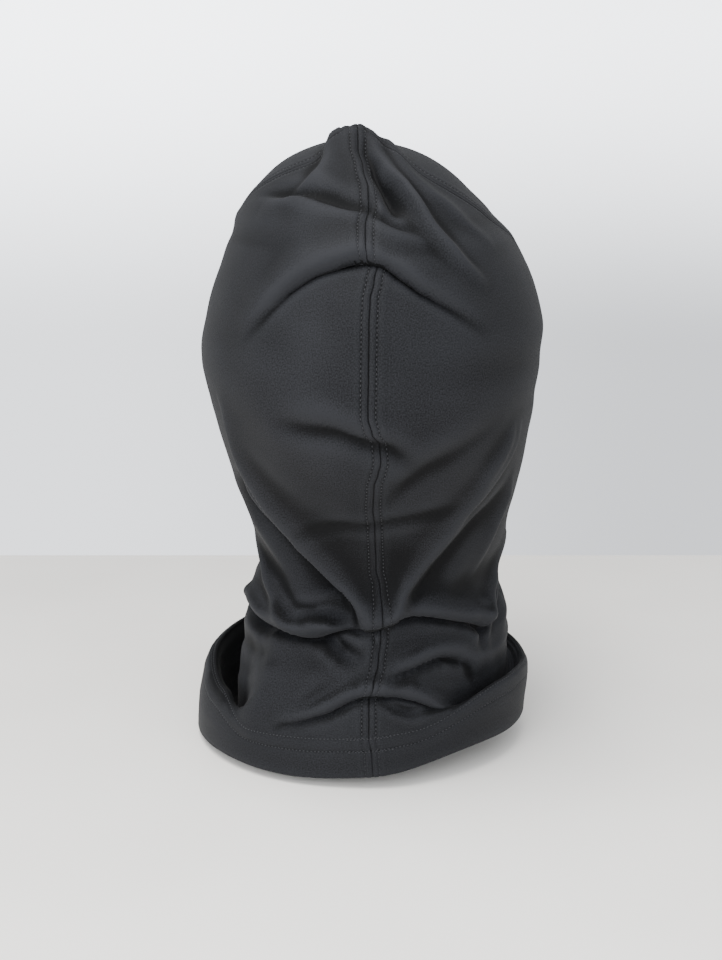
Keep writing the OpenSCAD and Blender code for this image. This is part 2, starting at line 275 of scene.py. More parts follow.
FOLDS = (
    # crown
    Fold("left crown pleat", FoldKind.RIDGE,
         ((7, 112, 0.2), (9, 108, 0.8), (12, 102, 1), (16, 96, 1), (22, 91, 0.9), (32, 87, 0)),
         height=5.0, above=10.0, below=2.8),
    Fold("left shelf", FoldKind.CREASE,
         ((46, 87, 0), (37, 88, 0.7), (28, 88, 1), (19, 86, 1), (10, 84, 0.9), (1, 83, 0.4)),
         height=2.6, above=4.0, below=1.6),
    Fold("left shelf lip", FoldKind.RIDGE,
         ((44, 83, 0), (33, 85, 0.8), (25, 85, 1), (18, 83, 1), (8, 81, 0.8), (1, 80, 0)),
         height=2.4, above=1.8, below=8.0),
    Fold("right shelf", FoldKind.TUCK,
         ((1, 84, 0.2), (-4, 81, 1), (-10, 78, 1), (-16, 75, 0.8), (-24, 73, 0)),
         height=1.0, above=5.0, below=2.4, droop=0.4, sink=1.2),
    Fold("right shelf lip", FoldKind.RIDGE,
         ((0, 79, 0.2), (-5, 77, 1), (-10, 74, 1), (-17, 72, 0.9), (-25, 70, 0)),
         height=3.0, above=2.2, below=5.0),
    Fold("right hollow", FoldKind.CREASE,
         ((-3, 106, 0), (-5, 98, 0.8), (-8, 91, 1), (-11, 85, 0.9), (-13, 79, 0)),
         height=6.5, above=4.5, below=3.0),
    Fold("right inner pleat", FoldKind.RIDGE,
         ((-6, 108, 0), (-8, 100, 0.8), (-13, 93, 1), (-19, 86, 1), (-24, 79, 1), (-30, 69, 0.8),
          (-36, 61, 0.6), (-48, 50, 0)),
         height=5.4, above=3.0, below=3.6),
    Fold("right outer pleat", FoldKind.RIDGE,
         ((-9, 112, 0.4), (-13, 106, 0.9), (-17, 99, 0.9), (-21, 94, 1), (-28, 88, 1), (-34, 84, 0.9),
          (-41, 77, 0.7), (-53, 66, 0)),
         height=2.6, above=5.0, below=2.8),
    # the arc across the back of the crown
    Fold("back arc", FoldKind.TUCK,
         ((56, 27, 0), (47, 39, 0.35), (39, 48, 0.7), (34, 53, 0.9), (25, 59, 1), (13, 63, 1), (4, 65, 1),
          (-3, 64, 1), (-7, 61, 1), (-12, 58, 1), (-19, 53, 0.9), (-28, 47, 0.7), (-36, 41, 0.4),
          (-48, 31, 0)),
         height=4.2, above=13.0, below=2.6, droop=3.6, sink=3.4),
    # middle of the back
    Fold("middle fold", FoldKind.TUCK,
         ((46, -5, 0), (34, -5, 0.6), (24, -5, 0.9), (16, -6, 0.9), (9, -9, 1), (0, -12, 1), (-5, -13, 1),
          (-9, -16, 0.8), (-18, -24, 0)),
         height=1.1, above=10.0, below=5.5, droop=0.8, sink=3.8),
    Fold("middle diagonal", FoldKind.CREASE,
         ((-58, -6, 0), (-46, -13, 0.6), (-32, -20, 1), (-21, -25, 1), (-13, -33, 1), (-4, -44, 0)),
         height=2.2, above=8.0, below=4.5),
    Fold("thin cross crease", FoldKind.CREASE,
         ((44, -66, 0), (34, -60, 0.6), (24, -56, 1), (14, -54, 1), (4, -54, 1), (-6, -52, 1),
          (-15, -50, 1), (-26, -48, 0.8), (-42, -44, 0)),
         height=1.5, above=2.1, below=2.4),
    # long folds that run down to the nape
    Fold("left long fold", FoldKind.RIDGE,
         ((70, 2, 0), (66, -14, 0.5), (63, -26, 0.7), (59, -34, 0.9), (53, -42, 1), (47, -51, 1),
          (41, -58, 1), (34, -67, 1), (27, -74, 1), (20, -81, 1), (14, -87, 1), (9, -97, 1),
          (5, -106, 0.4)),
         height=5.0, above=8.0, below=2.6, droop=1.4),
    Fold("left long hollow", FoldKind.CREASE,
         ((66, -38, 0), (61, -50, 0.6), (55, -58, 0.9), (48, -65, 1), (39, -76, 1), (33, -82, 1),
          (25, -88, 1), (17, -94, 1), (12, -100, 0.8), (7, -106, 0)),
         height=8.5, above=3.0, below=6.0),
    Fold("left thin fold", FoldKind.RIDGE,
         ((61, -76, 0), (57, -84, 0.7), (52, -92, 1), (45, -99, 1), (40, -105, 0.9), (35, -111, 0.3)),
         height=4.6, above=2.6, below=3.4),
    Fold("right long fold", FoldKind.RIDGE,
         ((-68, -10, 0), (-65, -20, 0.6), (-59, -28, 0.8), (-53, -34, 1), (-44, -44, 1), (-38, -50, 1),
          (-33, -57, 1), (-27, -64, 1), (-20, -74, 1), (-13, -85, 1), (-7, -94, 1), (-3, -104, 0.4)),
         height=3.8, above=3.4, below=8.0),
    Fold("right long hollow", FoldKind.CREASE,
         ((-64, -38, 0), (-52, -52, 0.6), (-43, -60, 1), (-34, -69, 1), (-26, -79, 1), (-19, -89, 0.8),
          (-12, -99, 0)),
         height=3.0, above=6.0, below=3.6),
    Fold("right upper fold", FoldKind.RIDGE,
         ((-64, -10, 0), (-62, -16, 0.7), (-58, -22, 1), (-49, -32, 1), (-42, -44, 0)),
         height=2.0, above=2.6, below=3.5),
    Fold("right outer fold", FoldKind.RIDGE,
         ((-63, -38, 0), (-61, -49, 0.8), (-56, -58, 1), (-51, -68, 1), (-47, -76, 0.8), (-42, -90, 0)),
         height=2.8, above=3.4, below=5.0),
    Fold("nape wedge", FoldKind.RIDGE,
         ((-14, -78, 0), (-10, -88, 0.8), (-6, -97, 1), (-3, -103, 1), (-2, -109, 0)),
         height=3.2, above=2.2, below=2.4),
    # the cloth bunched on the nape
    Fold("nape bunch", FoldKind.TUCK,
         ((68, -103, 0), (61, -107, 0.5), (54, -109, 0.9), (46, -110, 1), (37, -111, 1), (29, -111, 1),
          (22, -108, 0.9), (16, -106, 0.8), (8, -106, 0.7), (2, -106, 0.6), (-6, -102, 0.6),
          (-13, -100, 0.8), (-24, -101, 0.9), (-35, -104, 0.9), (-45, -107, 1), (-51, -110, 0.9),
          (-56, -113, 0)),
         height=5.6, above=9.0, below=3.0, droop=3.8, sink=5.4),
    Fold("nape left pocket", FoldKind.CREASE,
         ((60, -108, 0.4), (57, -111, 1), (53, -112, 1), (47, -114, 0)),
         height=5.0, above=3.0, below=3.6),
    Fold("nape right pocket", FoldKind.CREASE,
         ((-46, -109, 0.3), (-50, -112, 1), (-52, -117, 0.4)),
         height=5.0, above=3.0, below=3.0),
    Fold("nape inner lip", FoldKind.CREASE,
         ((40, -105, 0), (33, -101, 0.8), (24, -99, 1), (16, -101, 1), (8, -105, 0.2)),
         height=3.4, above=2.6, below=2.6),
    Fold("nape left edge", FoldKind.RIDGE,
         ((64, -92, 0), (61, -100, 0.8), (58, -107, 1), (56, -111, 0.4)),
         height=1.0, above=3.0, below=3.0),
    Fold("nape right edge", FoldKind.TUCK,
         ((-51, -113, 0.3), (-54, -107, 1), (-55, -100, 1), (-56, -93, 1), (-58, -86, 0.8), (-61, -76, 0)),
         height=3.6, above=9.0, below=2.8, droop=1.6, sink=4.6),
    Fold("nape right step", FoldKind.CREASE,
         ((-68, -78, 0), (-65, -88, 0.8), (-62, -97, 1), (-60, -106, 1), (-58, -114, 0.8), (-56, -120, 0)),
         height=3.4, above=5.0, below=3.0),
    Fold("nape diagonal", FoldKind.CREASE,
         ((27, -109, 0.3), (22, -111, 1), (18, -114, 1), (13, -118, 1), (6, -121, 0)),
         height=5.2, above=3.0, below=3.4),
    Fold("nape button", FoldKind.RIDGE,
         ((-25, -107, 0.8), (-28, -107, 1), (-31, -107, 0.8)),
         height=1.5, above=4.5, below=4.5),
    # lower neck
    Fold("lower arch", FoldKind.TUCK,
         ((-5, -130, 0), (-12, -126, 0.8), (-19, -124, 1), (-25, -122, 1), (-31, -120, 1), (-39, -121, 1),
          (-47, -124, 0.8), (-56, -131, 0)),
         height=2.4, above=7.0, below=3.0, droop=1.8, sink=4.2),
    Fold("lower right fold", FoldKind.RIDGE,
         ((-46, -120, 0), (-52, -123, 0.8), (-60, -127, 1), (-68, -133, 0)),
         height=1.1, above=3.2, below=4.0),
    Fold("crease over the hem", FoldKind.TUCK,
         ((44, -151, 0), (34, -148, 0.6), (24, -144, 0.9), (18, -142, 1), (13, -139, 1), (7, -136, 1),
          (0, -135, 1), (-7, -136, 1), (-13, -136, 1), (-21, -139, 1), (-28, -141, 1), (-36, -144, 0.8),
          (-46, -146, 0)),
         height=2.2, above=7.0, below=2.8, droop=2.2, sink=4.4),
    Fold("hem lens", FoldKind.CREASE,
         ((-7, -139, 0), (-13, -142, 0.9), (-20, -145, 1), (-26, -146, 1), (-34, -144, 0)),
         height=3.0, above=2.0, below=2.2),
    Fold("left soft crease", FoldKind.CREASE,
         ((36, -144, 0), (28, -140, 1), (24, -135, 0.8), (20, -131, 0)),
         height=1.2, above=3.0, below=3.0),
    Fold("left column hollow", FoldKind.CREASE,
         ((56, -116, 0), (54, -122, 1), (51, -129, 0.6), (49, -134, 0)),
         height=1.2, above=4.0, below=5.0),
)


@dataclass
class HoodForm:
    """The hood's surface in millimetres, and how the worn cloth departs from it.

    turn is 0 at the centre back, 90 at the wearer's left and 180 at the centre front. level is minus the
    latitude on the crown and the depth below the middle of the head elsewhere.

    Attributes:
        head_half_w, head_back, head_front, crown_h: reach of the head to the side, back, front and top.
        crown_fullness: power of the crown's curve, where 2 is round.
        nose_rise, nose_half_w, nose_drop, nose_reach: how far the nose stands out, its width and its place.
        peak_rise, peak_back, peak_reach: height, place and reach of the peak where the seams meet.
        tip_rise, tip_reach, shoulder_rise, shoulder_reach: how much higher and broader the worn peak stands.
        tucked_in: how far the crown seam is pulled forward beside the peak.
        hood_drop, hem_turn: depth of the lower edge, and of the cloth turned up inside it.
        hem_rise, hem_slope: how the lower edge is tilted, at the centre and for each millimetre to the side.
        eye_half_w, eye_top, eye_bottom, eye_corner_front, eye_corner_h: the eye opening and its corners.
        degree_run: distance down the crown for a degree of latitude.
    """

    head_half_w: float = 79.0
    head_back: float = 95.0
    head_front: float = 94.0
    crown_h: float = 110.0
    crown_fullness: float = 2.1
    nose_rise: float = 12.0
    nose_half_w: float = 20.0
    nose_drop: float = 30.0
    nose_reach: float = 21.0
    peak_rise: float = 5.0
    peak_back: float = 27.0
    peak_reach: float = 11.0
    tip_rise: float = 2.2
    tip_reach: float = 6.5
    shoulder_rise: float = 3.0
    shoulder_reach: float = 18.0
    tucked_in: float = 5.0
    hood_drop: float = 175.0
    hem_turn: float = 20.0
    hem_rise: float = 1.5
    hem_slope: float = 0.08
    eye_half_w: float = 60.0
    eye_top: float = 34.0
    eye_bottom: float = 14.0
    eye_corner_front: float = 65.0
    eye_corner_h: float = 9.0
    degree_run: float = 1.75
    # the hood's half width and its depth to the back and the front, at each distance below the head's middle
    width_keys: tuple = ((0, 79), (95, 58.5), (155, 82), (175, 82))
    back_keys: tuple = ((0, 95), (95, 56), (155, 74), (175, 74))
    front_keys: tuple = ((0, 94), (60, 90), (103, 60), (155, 86), (175, 86))
    # how the worn hood leans to the wearer's left at each height
    lean_keys: tuple = (
        (-175, 4), (-160, 3), (-145, 2), (-132, 1.2), (-122, -1.5), (-108, -3.3), (-80, -5.5), (-60, -4.5),
        (-45, -3.7), (-20, -2.2), (0, -1.2), (14, -0.9), (30, -2.4), (52, -2.1), (66, -1.2), (78, 2.3),
        (90, 3.9), (112, 5.2),
    )
    # where its back seam lies at each height
    seam_keys: tuple = (
        (-175, -1.7), (-165, -1.2), (-155, 0.2), (-136, 0.2), (-131, -1.7), (-122, -4), (-110, -5.4),
        (-95, -5.8), (-86, -4.8), (-77, -3), (-55, -2.3), (-44, -1.4), (-32, -1.8), (-26, -3.4),
        (-21, -4.6), (-12, -3.8), (-6, -0.8), (0, 0.9), (38, 0.5), (48, 0), (56, -1.7), (61, -2.8),
        (63.5, -2.4), (65.5, 0.5), (70, 1.7), (76, 2.0), (84, 0.5), (90, 0.8), (98, 3), (104, 5),
        (112, 5.3),
    )
    # how far the worn hood stands out at its sides at each height
    girth_keys: tuple = (
        (-147, 0), (-136, -1.5), (-125, -0.5), (-106, 2.6), (-98, 1.0), (-87, -1.9), (-76, -0.3),
        (-51, -0.8), (-30, -2), (-8, -1.6), (10, 0.8), (28, 2.2), (45, 2.0), (65, 1.2), (90, 0.6), (105, 0),
    )
    # how far the cloth above the hem stands in from its plain place, on each side, and how far it stands up
    left_gutter_keys: tuple = (
        (95, 0), (105, -0.2), (115, -2.1), (124, -5.7), (131, -8.7), (136, -10.4), (139, -11), (142, -9.8),
        (145, -9.2), (148, -9.6), (151, -9.7), (154, -8), (157, -5), (161, -2.5), (167, -0.5), (175, 0),
    )
    right_gutter_keys: tuple = (
        (95, 0), (115, 0), (124, -1.5), (131, -3.5), (136, -5), (139, -5.5), (142, -4.5), (148, -3.4),
        (151, -2.5), (154, -1), (157, 0.3), (161, 0.6), (175, 0),
    )
    gutter_up_keys: tuple = (
        (95, 0), (105, -1), (115, -2.5), (124, -5), (131, -10), (136, -17), (139, -21), (142, -19),
        (145, -10), (148, -1), (151, 6), (154, 10), (157, 10.2), (161, 8.5), (167, 4.5), (175, 0),
    )
    folds: tuple = FOLDS

    def ring_share(self, level: np.ndarray) -> np.ndarray:
        """The share of the head's full width that is left at each level."""
        latitude = np.radians(np.clip(-level, 0.0, 90.0))
        return np.where(level < 0, np.cos(latitude) ** (2 / self.crown_fullness), 1.0)

    def skin(self, turn: np.ndarray, level: np.ndarray, lift: np.ndarray = 0.0) -> np.ndarray:
        """Points of the hood's plain outside.

        Args:
            turn: degrees from the centre back towards the wearer's left.
            level: minus the latitude on the crown, or the depth below the middle of the head.
            lift: distance off the surface.

        Returns:
            The points.
        """
        turn, level = np.radians(np.asarray(turn, float)), np.asarray(level, float)
        latitude = np.radians(np.clip(-level, 0.0, 90.0))
        on_crown = level < 0
        round_r = self.ring_share(level)
        drop = np.where(on_crown, 0.0, level)
        depth = np.where(np.cos(turn) >= 0, eased(self.back_keys, drop), eased(self.front_keys, drop))
        x = (eased(self.width_keys, drop) + lift) * round_r * np.sin(turn)
        y = (depth + lift) * round_r * np.cos(turn)
        z = np.where(on_crown, (self.crown_h + lift) * np.sin(latitude) ** (2 / self.crown_fullness), -level)
        peak = self.peak_rise * np.exp(-(x * x + (y - self.peak_back) ** 2) / self.peak_reach ** 2)
        from_nose = (x / self.nose_half_w) ** 2, ((z + self.nose_drop) / self.nose_reach) ** 2
        nose = self.nose_rise * np.exp(-from_nose[0] - from_nose[1])
        z = z + np.where(z > 0, peak * np.minimum(1.0, z / 50.0), 0.0)
        y = y - np.where((z < 0) & (y < 0), nose, 0.0)
        return np.stack([x, y, z], -1)

    def outward(self, turn: np.ndarray, level: np.ndarray) -> np.ndarray:
        """The hood's outward direction at places on it."""
        step = 0.05
        along = self.skin(turn + step, level) - self.skin(turn - step, level)
        down = self.skin(turn, level + step) - self.skin(turn, level - step)
        normal = np.cross(along, down)
        guide = self.skin(turn, level, 1.0) - self.skin(turn, level)
        small = length(normal) < 1e-6
        normal = np.where(small, guide, normal)
        return unit(normal * np.where(np.sum(normal * guide, -1, keepdims=True) < 0, -1.0, 1.0))

    def place_of(self, point: np.ndarray) -> tuple[np.ndarray, np.ndarray]:
        """The turn and level of points near the hood."""
        x, y, z = point[..., 0], point[..., 1], point[..., 2]
        drop = np.maximum(0.0, -z)
        depth = np.where(y >= 0, eased(self.back_keys, drop), eased(self.front_keys, drop))
        turn = np.degrees(np.arctan2(x / eased(self.width_keys, drop), y / depth))
        half = self.crown_fullness / 2
        ring = np.hypot(x / self.head_half_w, y / np.where(y >= 0, self.head_back, self.head_front))
        latitude = np.degrees(np.arctan2((np.maximum(z, 0.0) / self.crown_h) ** half, ring ** half))
        return turn, np.where(z <= 0, -z, -latitude)

    def snap(self, point: np.ndarray) -> np.ndarray:
        """Points moved onto the hood's plain outside."""
        return self.skin(*self.place_of(point))

    def on_back(self, across: np.ndarray, up: np.ndarray) -> np.ndarray:
        """Points of the back of the hood at a distance across and up."""
        height = np.clip(up / self.crown_h, 0.0, 0.975) ** (self.crown_fullness / 2)
        latitude = np.arcsin(height)
        ring = np.where(up > 0, np.cos(latitude) ** (2 / self.crown_fullness), 1.0)
        width = eased(self.width_keys, np.maximum(0.0, -up)) * np.maximum(ring, 1e-6)
        turn = np.degrees(np.arcsin(np.clip(across / width, -1.0, 1.0)))
        return self.skin(turn, np.where(up > 0, -np.degrees(latitude), -up))

    def across(self, line: np.ndarray, run: np.ndarray) -> np.ndarray:
        """The direction along the hood to the left of a line.

        Args:
            line: the line's points.
            run: the line's direction at each.

        Returns:
            The direction at each, at length one.
        """
        return unit(np.cross(run, self.outward(*self.place_of(line))))

    def crown_seam(self, share: np.ndarray, side: Side) -> np.ndarray:
        """Points of the crown seam, from the peak to the corner of the eye opening.

        Args:
            share: 0 at the peak and 1 at the corner.
            side: the wearer's side.

        Returns:
            The points.
        """
        high = side is Side.LEFT
        bend = np.array([
            (0.0, self.peak_back, 106.0),
            (30.0, 74.0, 146.0) if high else (42.0, 66.0, 102.0),
            (97.0, -30.0, 72.0) if high else (79.0, 2.0, 54.0),
            (self.eye_half_w, -self.eye_corner_front, self.eye_corner_h),
        ])
        t = np.asarray(share, float)[..., None]
        point = ((1 - t) ** 3 * bend[0] + 3 * (1 - t) ** 2 * t * bend[1]
                 + 3 * (1 - t) * t * t * bend[2] + t ** 3 * bend[3])
        point[..., 1] -= self.tucked_in * hill(t[..., 0], 0.115, 0.075)
        return self.snap(point * np.array([side.value, 1.0, 1.0]))

    def lower_eye_edge(self, share: np.ndarray, side: Side) -> np.ndarray:
        """Points of the eye opening's lower edge, from its corner to the centre front."""
        turn, level = self.place_of(self.crown_seam(np.array([1.0]), Side.LEFT))
        angle = np.radians(90.0 * np.asarray(share, float))
        point = self.skin(blend(turn, 180.0, 1 - np.cos(angle)), blend(level, self.eye_bottom, np.sin(angle)))
        return point * np.array([side.value, 1.0, 1.0])

    def upper_eye_edge(self, across: np.ndarray) -> np.ndarray:
        """Points of the eye opening's upper edge, from -1 at the right corner to 1 at the left."""
        brow = self.snap(np.array([0.0, -self.head_front, self.eye_top]))
        bow = np.sqrt(np.maximum(0.0, 1.0 - across * across))
        return self.snap(np.stack([
            across * self.eye_half_w,
            blend(-self.eye_corner_front, brow[1], bow),
            blend(self.eye_corner_h, brow[2], bow),
        ], -1))

    def worn(self, turn: np.ndarray, level: np.ndarray, lift: np.ndarray = 0.0) -> np.ndarray:
        """Points of the hood as it is worn, with its folds.

        Args:
            turn: degrees from the centre back towards the wearer's left, from -180 to 180.
            level: minus the latitude on the crown, or the depth below the middle of the head.
            lift: distance off the cloth's outside.

        Returns:
            The points, in millimetres.
        """
        turn, level = (a.astype(float) for a in np.broadcast_arrays(turn, level))
        shape = turn.shape
        turn, level = turn.ravel(), level.ravel()
        lift = np.broadcast_to(lift, shape).ravel()
        place, outward = self.skin(turn, level), self.outward(turn, level)
        moved = place + lift[:, None] * outward
        x, y, z = place.T
        moved[:, 0] += eased(self.girth_keys, z) * x / self.head_half_w
        from_tip = np.hypot(x, y - self.peak_back)
        tip = self.tip_rise * hill(from_tip, 0.0, self.tip_reach)
        shoulders = self.shoulder_rise * hill(from_tip, 0.0, self.shoulder_reach)
        moved[:, 2] += np.where(z > 0, tip + shoulders, 0.0)
        moved += self.gutter(turn, level, place)
        # the folds fade out at the top of the crown
        behind = np.where(z > 0, ease((y - 15.0) / 9.0), 1.0)[:, None]
        for fold in self.folds:
            moved += behind * fold.move(self, place, outward)
        moved += (self.ripple(place) * ease((z + 172.0) / 30.0))[:, None] * outward
        # the whole hood leans, and the cloth beside the back seam goes with the seam
        lean = eased(self.lean_keys, z)
        near = np.exp(-((x / 22.0) ** 2)) * ease((y + 10.0) / 25.0)
        moved[:, 0] += blend(lean, eased(self.seam_keys, z), near)
        tilt = self.hem_rise - self.hem_slope * x
        moved[:, 2] += tilt * ease((-z - 108.0) / 42.0)
        return moved.reshape(*shape, 3)

    def gutter(self, turn: np.ndarray, level: np.ndarray, place: np.ndarray) -> np.ndarray:
        """How the flared hem band stands off the neck, with a gutter behind it at the sides.

        Args:
            turn: degrees from the centre back towards the wearer's left, from -180 to 180.
            level: minus the latitude on the crown, or the depth below the middle of the head.
            place: the plain points there.

        Returns:
            A vector for each point.
        """
        # left goes from 0 to 1 across the centre lines, and the gutter deepens from start to full
        left = ease(0.5 + 1.5 * np.sin(np.radians(turn)))
        start, full = blend(15.0, 40.0, left), blend(52.0, 66.0, left)
        around = np.abs(turn)
        to_front = 1 - 0.75 * ease((around - 125.0) / 50.0)
        strength = ease((around - start) / (full - start)) * to_front
        flat = unit(place * np.array([1.0, 1.0, 0.0]))
        right_in, left_in = eased(self.right_gutter_keys, level), eased(self.left_gutter_keys, level)
        out = blend(right_in, left_in, left) * strength
        far_side = blend(1.0, blend(0.45, 2.05, left), ease((around - 64.0) / 32.0))
        up = eased(self.gutter_up_keys, level) * strength * far_side
        # the lower edge itself stands a little higher towards the sides
        rise = blend(3.6 * hill(around, 38.0, 22.0), 3.4 * ease((around - 14.0) / 46.0), left)
        up += rise * ease((level - 152.0) / 20.0) * ease((150.0 - around) / 60.0)
        return out[:, None] * flat + up[:, None] * np.array([0.0, 0.0, 1.0])

    @staticmethod
    def ripple(place: np.ndarray) -> np.ndarray:
        """Slight unevenness of the cloth all over."""
        x, y, z = place.T
        return (0.35 * np.sin(x / 11.0 + 1.3 * np.sin(z / 19.0)) * np.sin(z / 14.0 + 0.8 + y / 40.0)
                + 0.22 * np.sin(x / 6.1 - z / 7.3 + 2.0 * np.sin(y / 21.0)) * np.sin(z / 9.7 + x / 23.0)
                + 0.4 * np.sin(y / 17.0 + z / 23.0 + 0.5) * np.sin(z / 31.0 - y / 45.0))


@dataclass(frozen=True)
class SeamSection:
    """The section of a cover-stitched seam and of a turned hem, in millimetres.

    Attributes:
        cloth: thickness of one layer.
        allowance: width of a seam allowance.
        needle_off: distance from the seam to a needle thread.
        hem_rows: distances from the neck's lower edge to its needle threads.
        eye_rows: distances from the eye opening's edge to its needle threads.
        eye_turn: width of the cloth turned under at the eye opening.
        flat: distance from an edge at which its rounded fold ends.
        ledge: distance from a seam within which the rows lie closest together.
        band, eye_band: width of the fine rows beside a seam and beside the eye opening.
        stand: how far a stitch stands off the cloth under it.
        under_rows, hem_under_rows: rows of the cloth turned under at an edge and at the neck.
    """

    cloth: float = 0.8
    allowance: float = 6.5
    needle_off: float = 3.2
    hem_rows: tuple = (13.6, 20.0)
    eye_rows: tuple = (3.0, 9.4)
    eye_turn: float = 12.0
    flat: float = 0.62
    ledge: float = 3.6
    band: float = 8.4
    eye_band: float = 12.4
    stand: float = 0.17
    under_rows: int = 5
    hem_under_rows: int = 8

    @property
    def under(self) -> float:
        """Depth of the cloth's right side where it is turned under."""
        return -2.0 * self.cloth - 0.1

    @property
    def looper(self) -> float:
        """Depth of a looper thread, on the inside of the doubled cloth."""
        return self.under - 0.16

    def seam_band(self) -> np.ndarray:
        """Distances from a seam of the rows or columns beside it."""
        return np.concatenate([steps((self.flat, self.ledge, 8), (self.ledge, self.band, 6)), [self.band]])

    def seam(self, off: np.ndarray) -> np.ndarray:
        """Relief of the outside at a distance from a seam."""
        return (0.14 * (1 - ease((off - 5.7) / 1.6)) - 0.6 * hill(off, 0.0, 0.55) + 0.12 * hill(off, 1.7, 0.9)
                - 0.3 * hill(off, self.needle_off, 0.5))

    def hem(self, off: np.ndarray, rows: tuple) -> np.ndarray:
        """Relief of the outside at a distance from a turned edge that is stitched along rows."""
        inner, outer = rows
        return (0.25 * (1 - ease((off - outer - 0.3) / 1.4))
                - 0.3 * hill(off, inner, 0.5) - 0.3 * hill(off, outer, 0.5)
                + 0.12 * hill(off, (inner + outer) / 2, 1.8))

    def turned_edge(self, depth: float, count: int) -> tuple[np.ndarray, np.ndarray]:
        """The section of an edge that is turned under.

        Args:
            depth: how far the cloth goes back under.
            count: points of the part under.

        Returns:
            Distances from the edge and lifts, from the raw edge round the fold to the outside.
        """
        radius = -self.under / 2
        angles = np.radians([250.0, 215.0, 180.0, 145.0, 115.0])
        off = np.concatenate([np.linspace(depth, radius * 1.15, count), 0.4 * (1 + np.cos(angles)) - 0.03])
        lift = np.concatenate([np.full(count, self.under), -radius + radius * np.sin(angles)])
        return off, lift


@dataclass
class Panel:
    """A fabric panel built from a grid of places on the hood.

    Attributes:
        form: the hood that it is part of.
        section: the section of its edges.
        name: the piece's name.
        wide_hollow_shade: how much painted shade a wide hollow gets, as a share of what a narrow crease gets.
        stitched_groove_shade: how much painted shade the cloth gets where a seam or stitches press it in.
    """

    form: HoodForm
    section: SeamSection
    name: str = "panel"
    wide_hollow_shade: float = 0.34
    stitched_groove_shade: float = 4.5

    def sheet(self, turn: np.ndarray, level: np.ndarray, lift: np.ndarray,
              drop: np.ndarray) -> bpy.types.Object:
        """Builds the panel's object.

        Args:
            turn: the turn of each grid point, rows down and columns across.
            level: the level of each.
            lift: the lift of each.
            drop: true where a point isn't kept, at the notched corners.

        Returns:
            The object, a sheet with its thickness as a modifier.
        """
        point = self.form.worn(turn, level, lift)
        rows, cols = turn.shape
        bm = bmesh.new()
        bmesh.ops.create_grid(bm, x_segments=cols - 1, y_segments=rows - 1, size=1.0)
        bm.verts.ensure_lookup_table()
        uv = bm.loops.layers.uv.new("cloth")
        run_x = np.radians(turn) * 80.0
        run_y = np.where(level < 0, level * self.form.degree_run, level)
        at = [(round((v.co.y + 1) / 2 * (rows - 1)), round((v.co.x + 1) / 2 * (cols - 1))) for v in bm.verts]
        proud = bm.verts.layers.float.new("proud")
        # painted shade in creases, wide hollows and seam grooves, and a painted highlight on crests, kept in
        # the mesh's proud layer for the knit's colour
        stands = self.proud_of(point, 2) + self.wide_hollow_shade * np.minimum(self.proud_of(point, 6), 0.0)
        stands += np.clip(self.stitched_groove_shade * lift, -1.2, 0.0)
        for vert, (j, i) in zip(bm.verts, at):
            vert.co = Vector(point[j, i] * MM)
            vert[proud] = stands[j, i]
        for face in bm.faces:
            for loop in face.loops:
                j, i = at[loop.vert.index]
                loop[uv].uv = (run_x[j, i], run_y[j, i])
            face.smooth = True
        gone = [vert for vert, (j, i) in zip(bm.verts, at) if drop[j, i]]
        bmesh.ops.delete(bm, geom=gone, context="VERTS")
        self.face_outwards(bm)
        made = in_scene(self.name, mesh_from(self.name, bm))
        wall = made.modifiers.new("cloth thickness", "SOLIDIFY")
        wall.thickness, wall.offset = self.section.cloth * MM, -1.0
        wall.use_even_offset = False
        return made

    @staticmethod
    def proud_of(point: np.ndarray, reach: int) -> np.ndarray:
        """How far the cloth stands proud of what is round it.

        Args:
            point: the grid's points.
            reach: grid steps to the places that it is compared with.

        Returns:
            Millimetres at each point, above 0 on a crest and below 0 in a crease.
        """
        wide = np.pad(point, ((reach, reach), (reach, reach), (0, 0)), mode="edge")
        rows, cols = point.shape[:2]
        beside = ((0, reach), (2 * reach, reach), (reach, 0), (reach, 2 * reach))
        mean = sum(wide[j: j + rows, i: i + cols] for j, i in beside) / 4
        normal = unit(np.cross(np.gradient(point, axis=0), np.gradient(point, axis=1)))
        centre = np.array([0.0, 0.0, -20.0])
        outwards = np.where(np.sum(normal * (point - centre), -1) < 0, -1.0, 1.0)
        made = np.clip(np.sum((point - mean) * normal, -1) * outwards, -1.5, 1.5)
        for _ in range(2):
            even_out(made)
            even_out(made.T)
        return made

    @staticmethod
    def face_outwards(bm: bmesh.types.BMesh) -> None:
        """Turns a sheet of one piece so that most of it faces away from the head."""
        middle = Vector((0, 0, -0.02))
        facing = sum(face.normal.dot(face.calc_center_median() - middle) * face.calc_area()
                     for face in bm.faces)
        if facing < 0:
            bmesh.ops.reverse_faces(bm, faces=bm.faces[:])


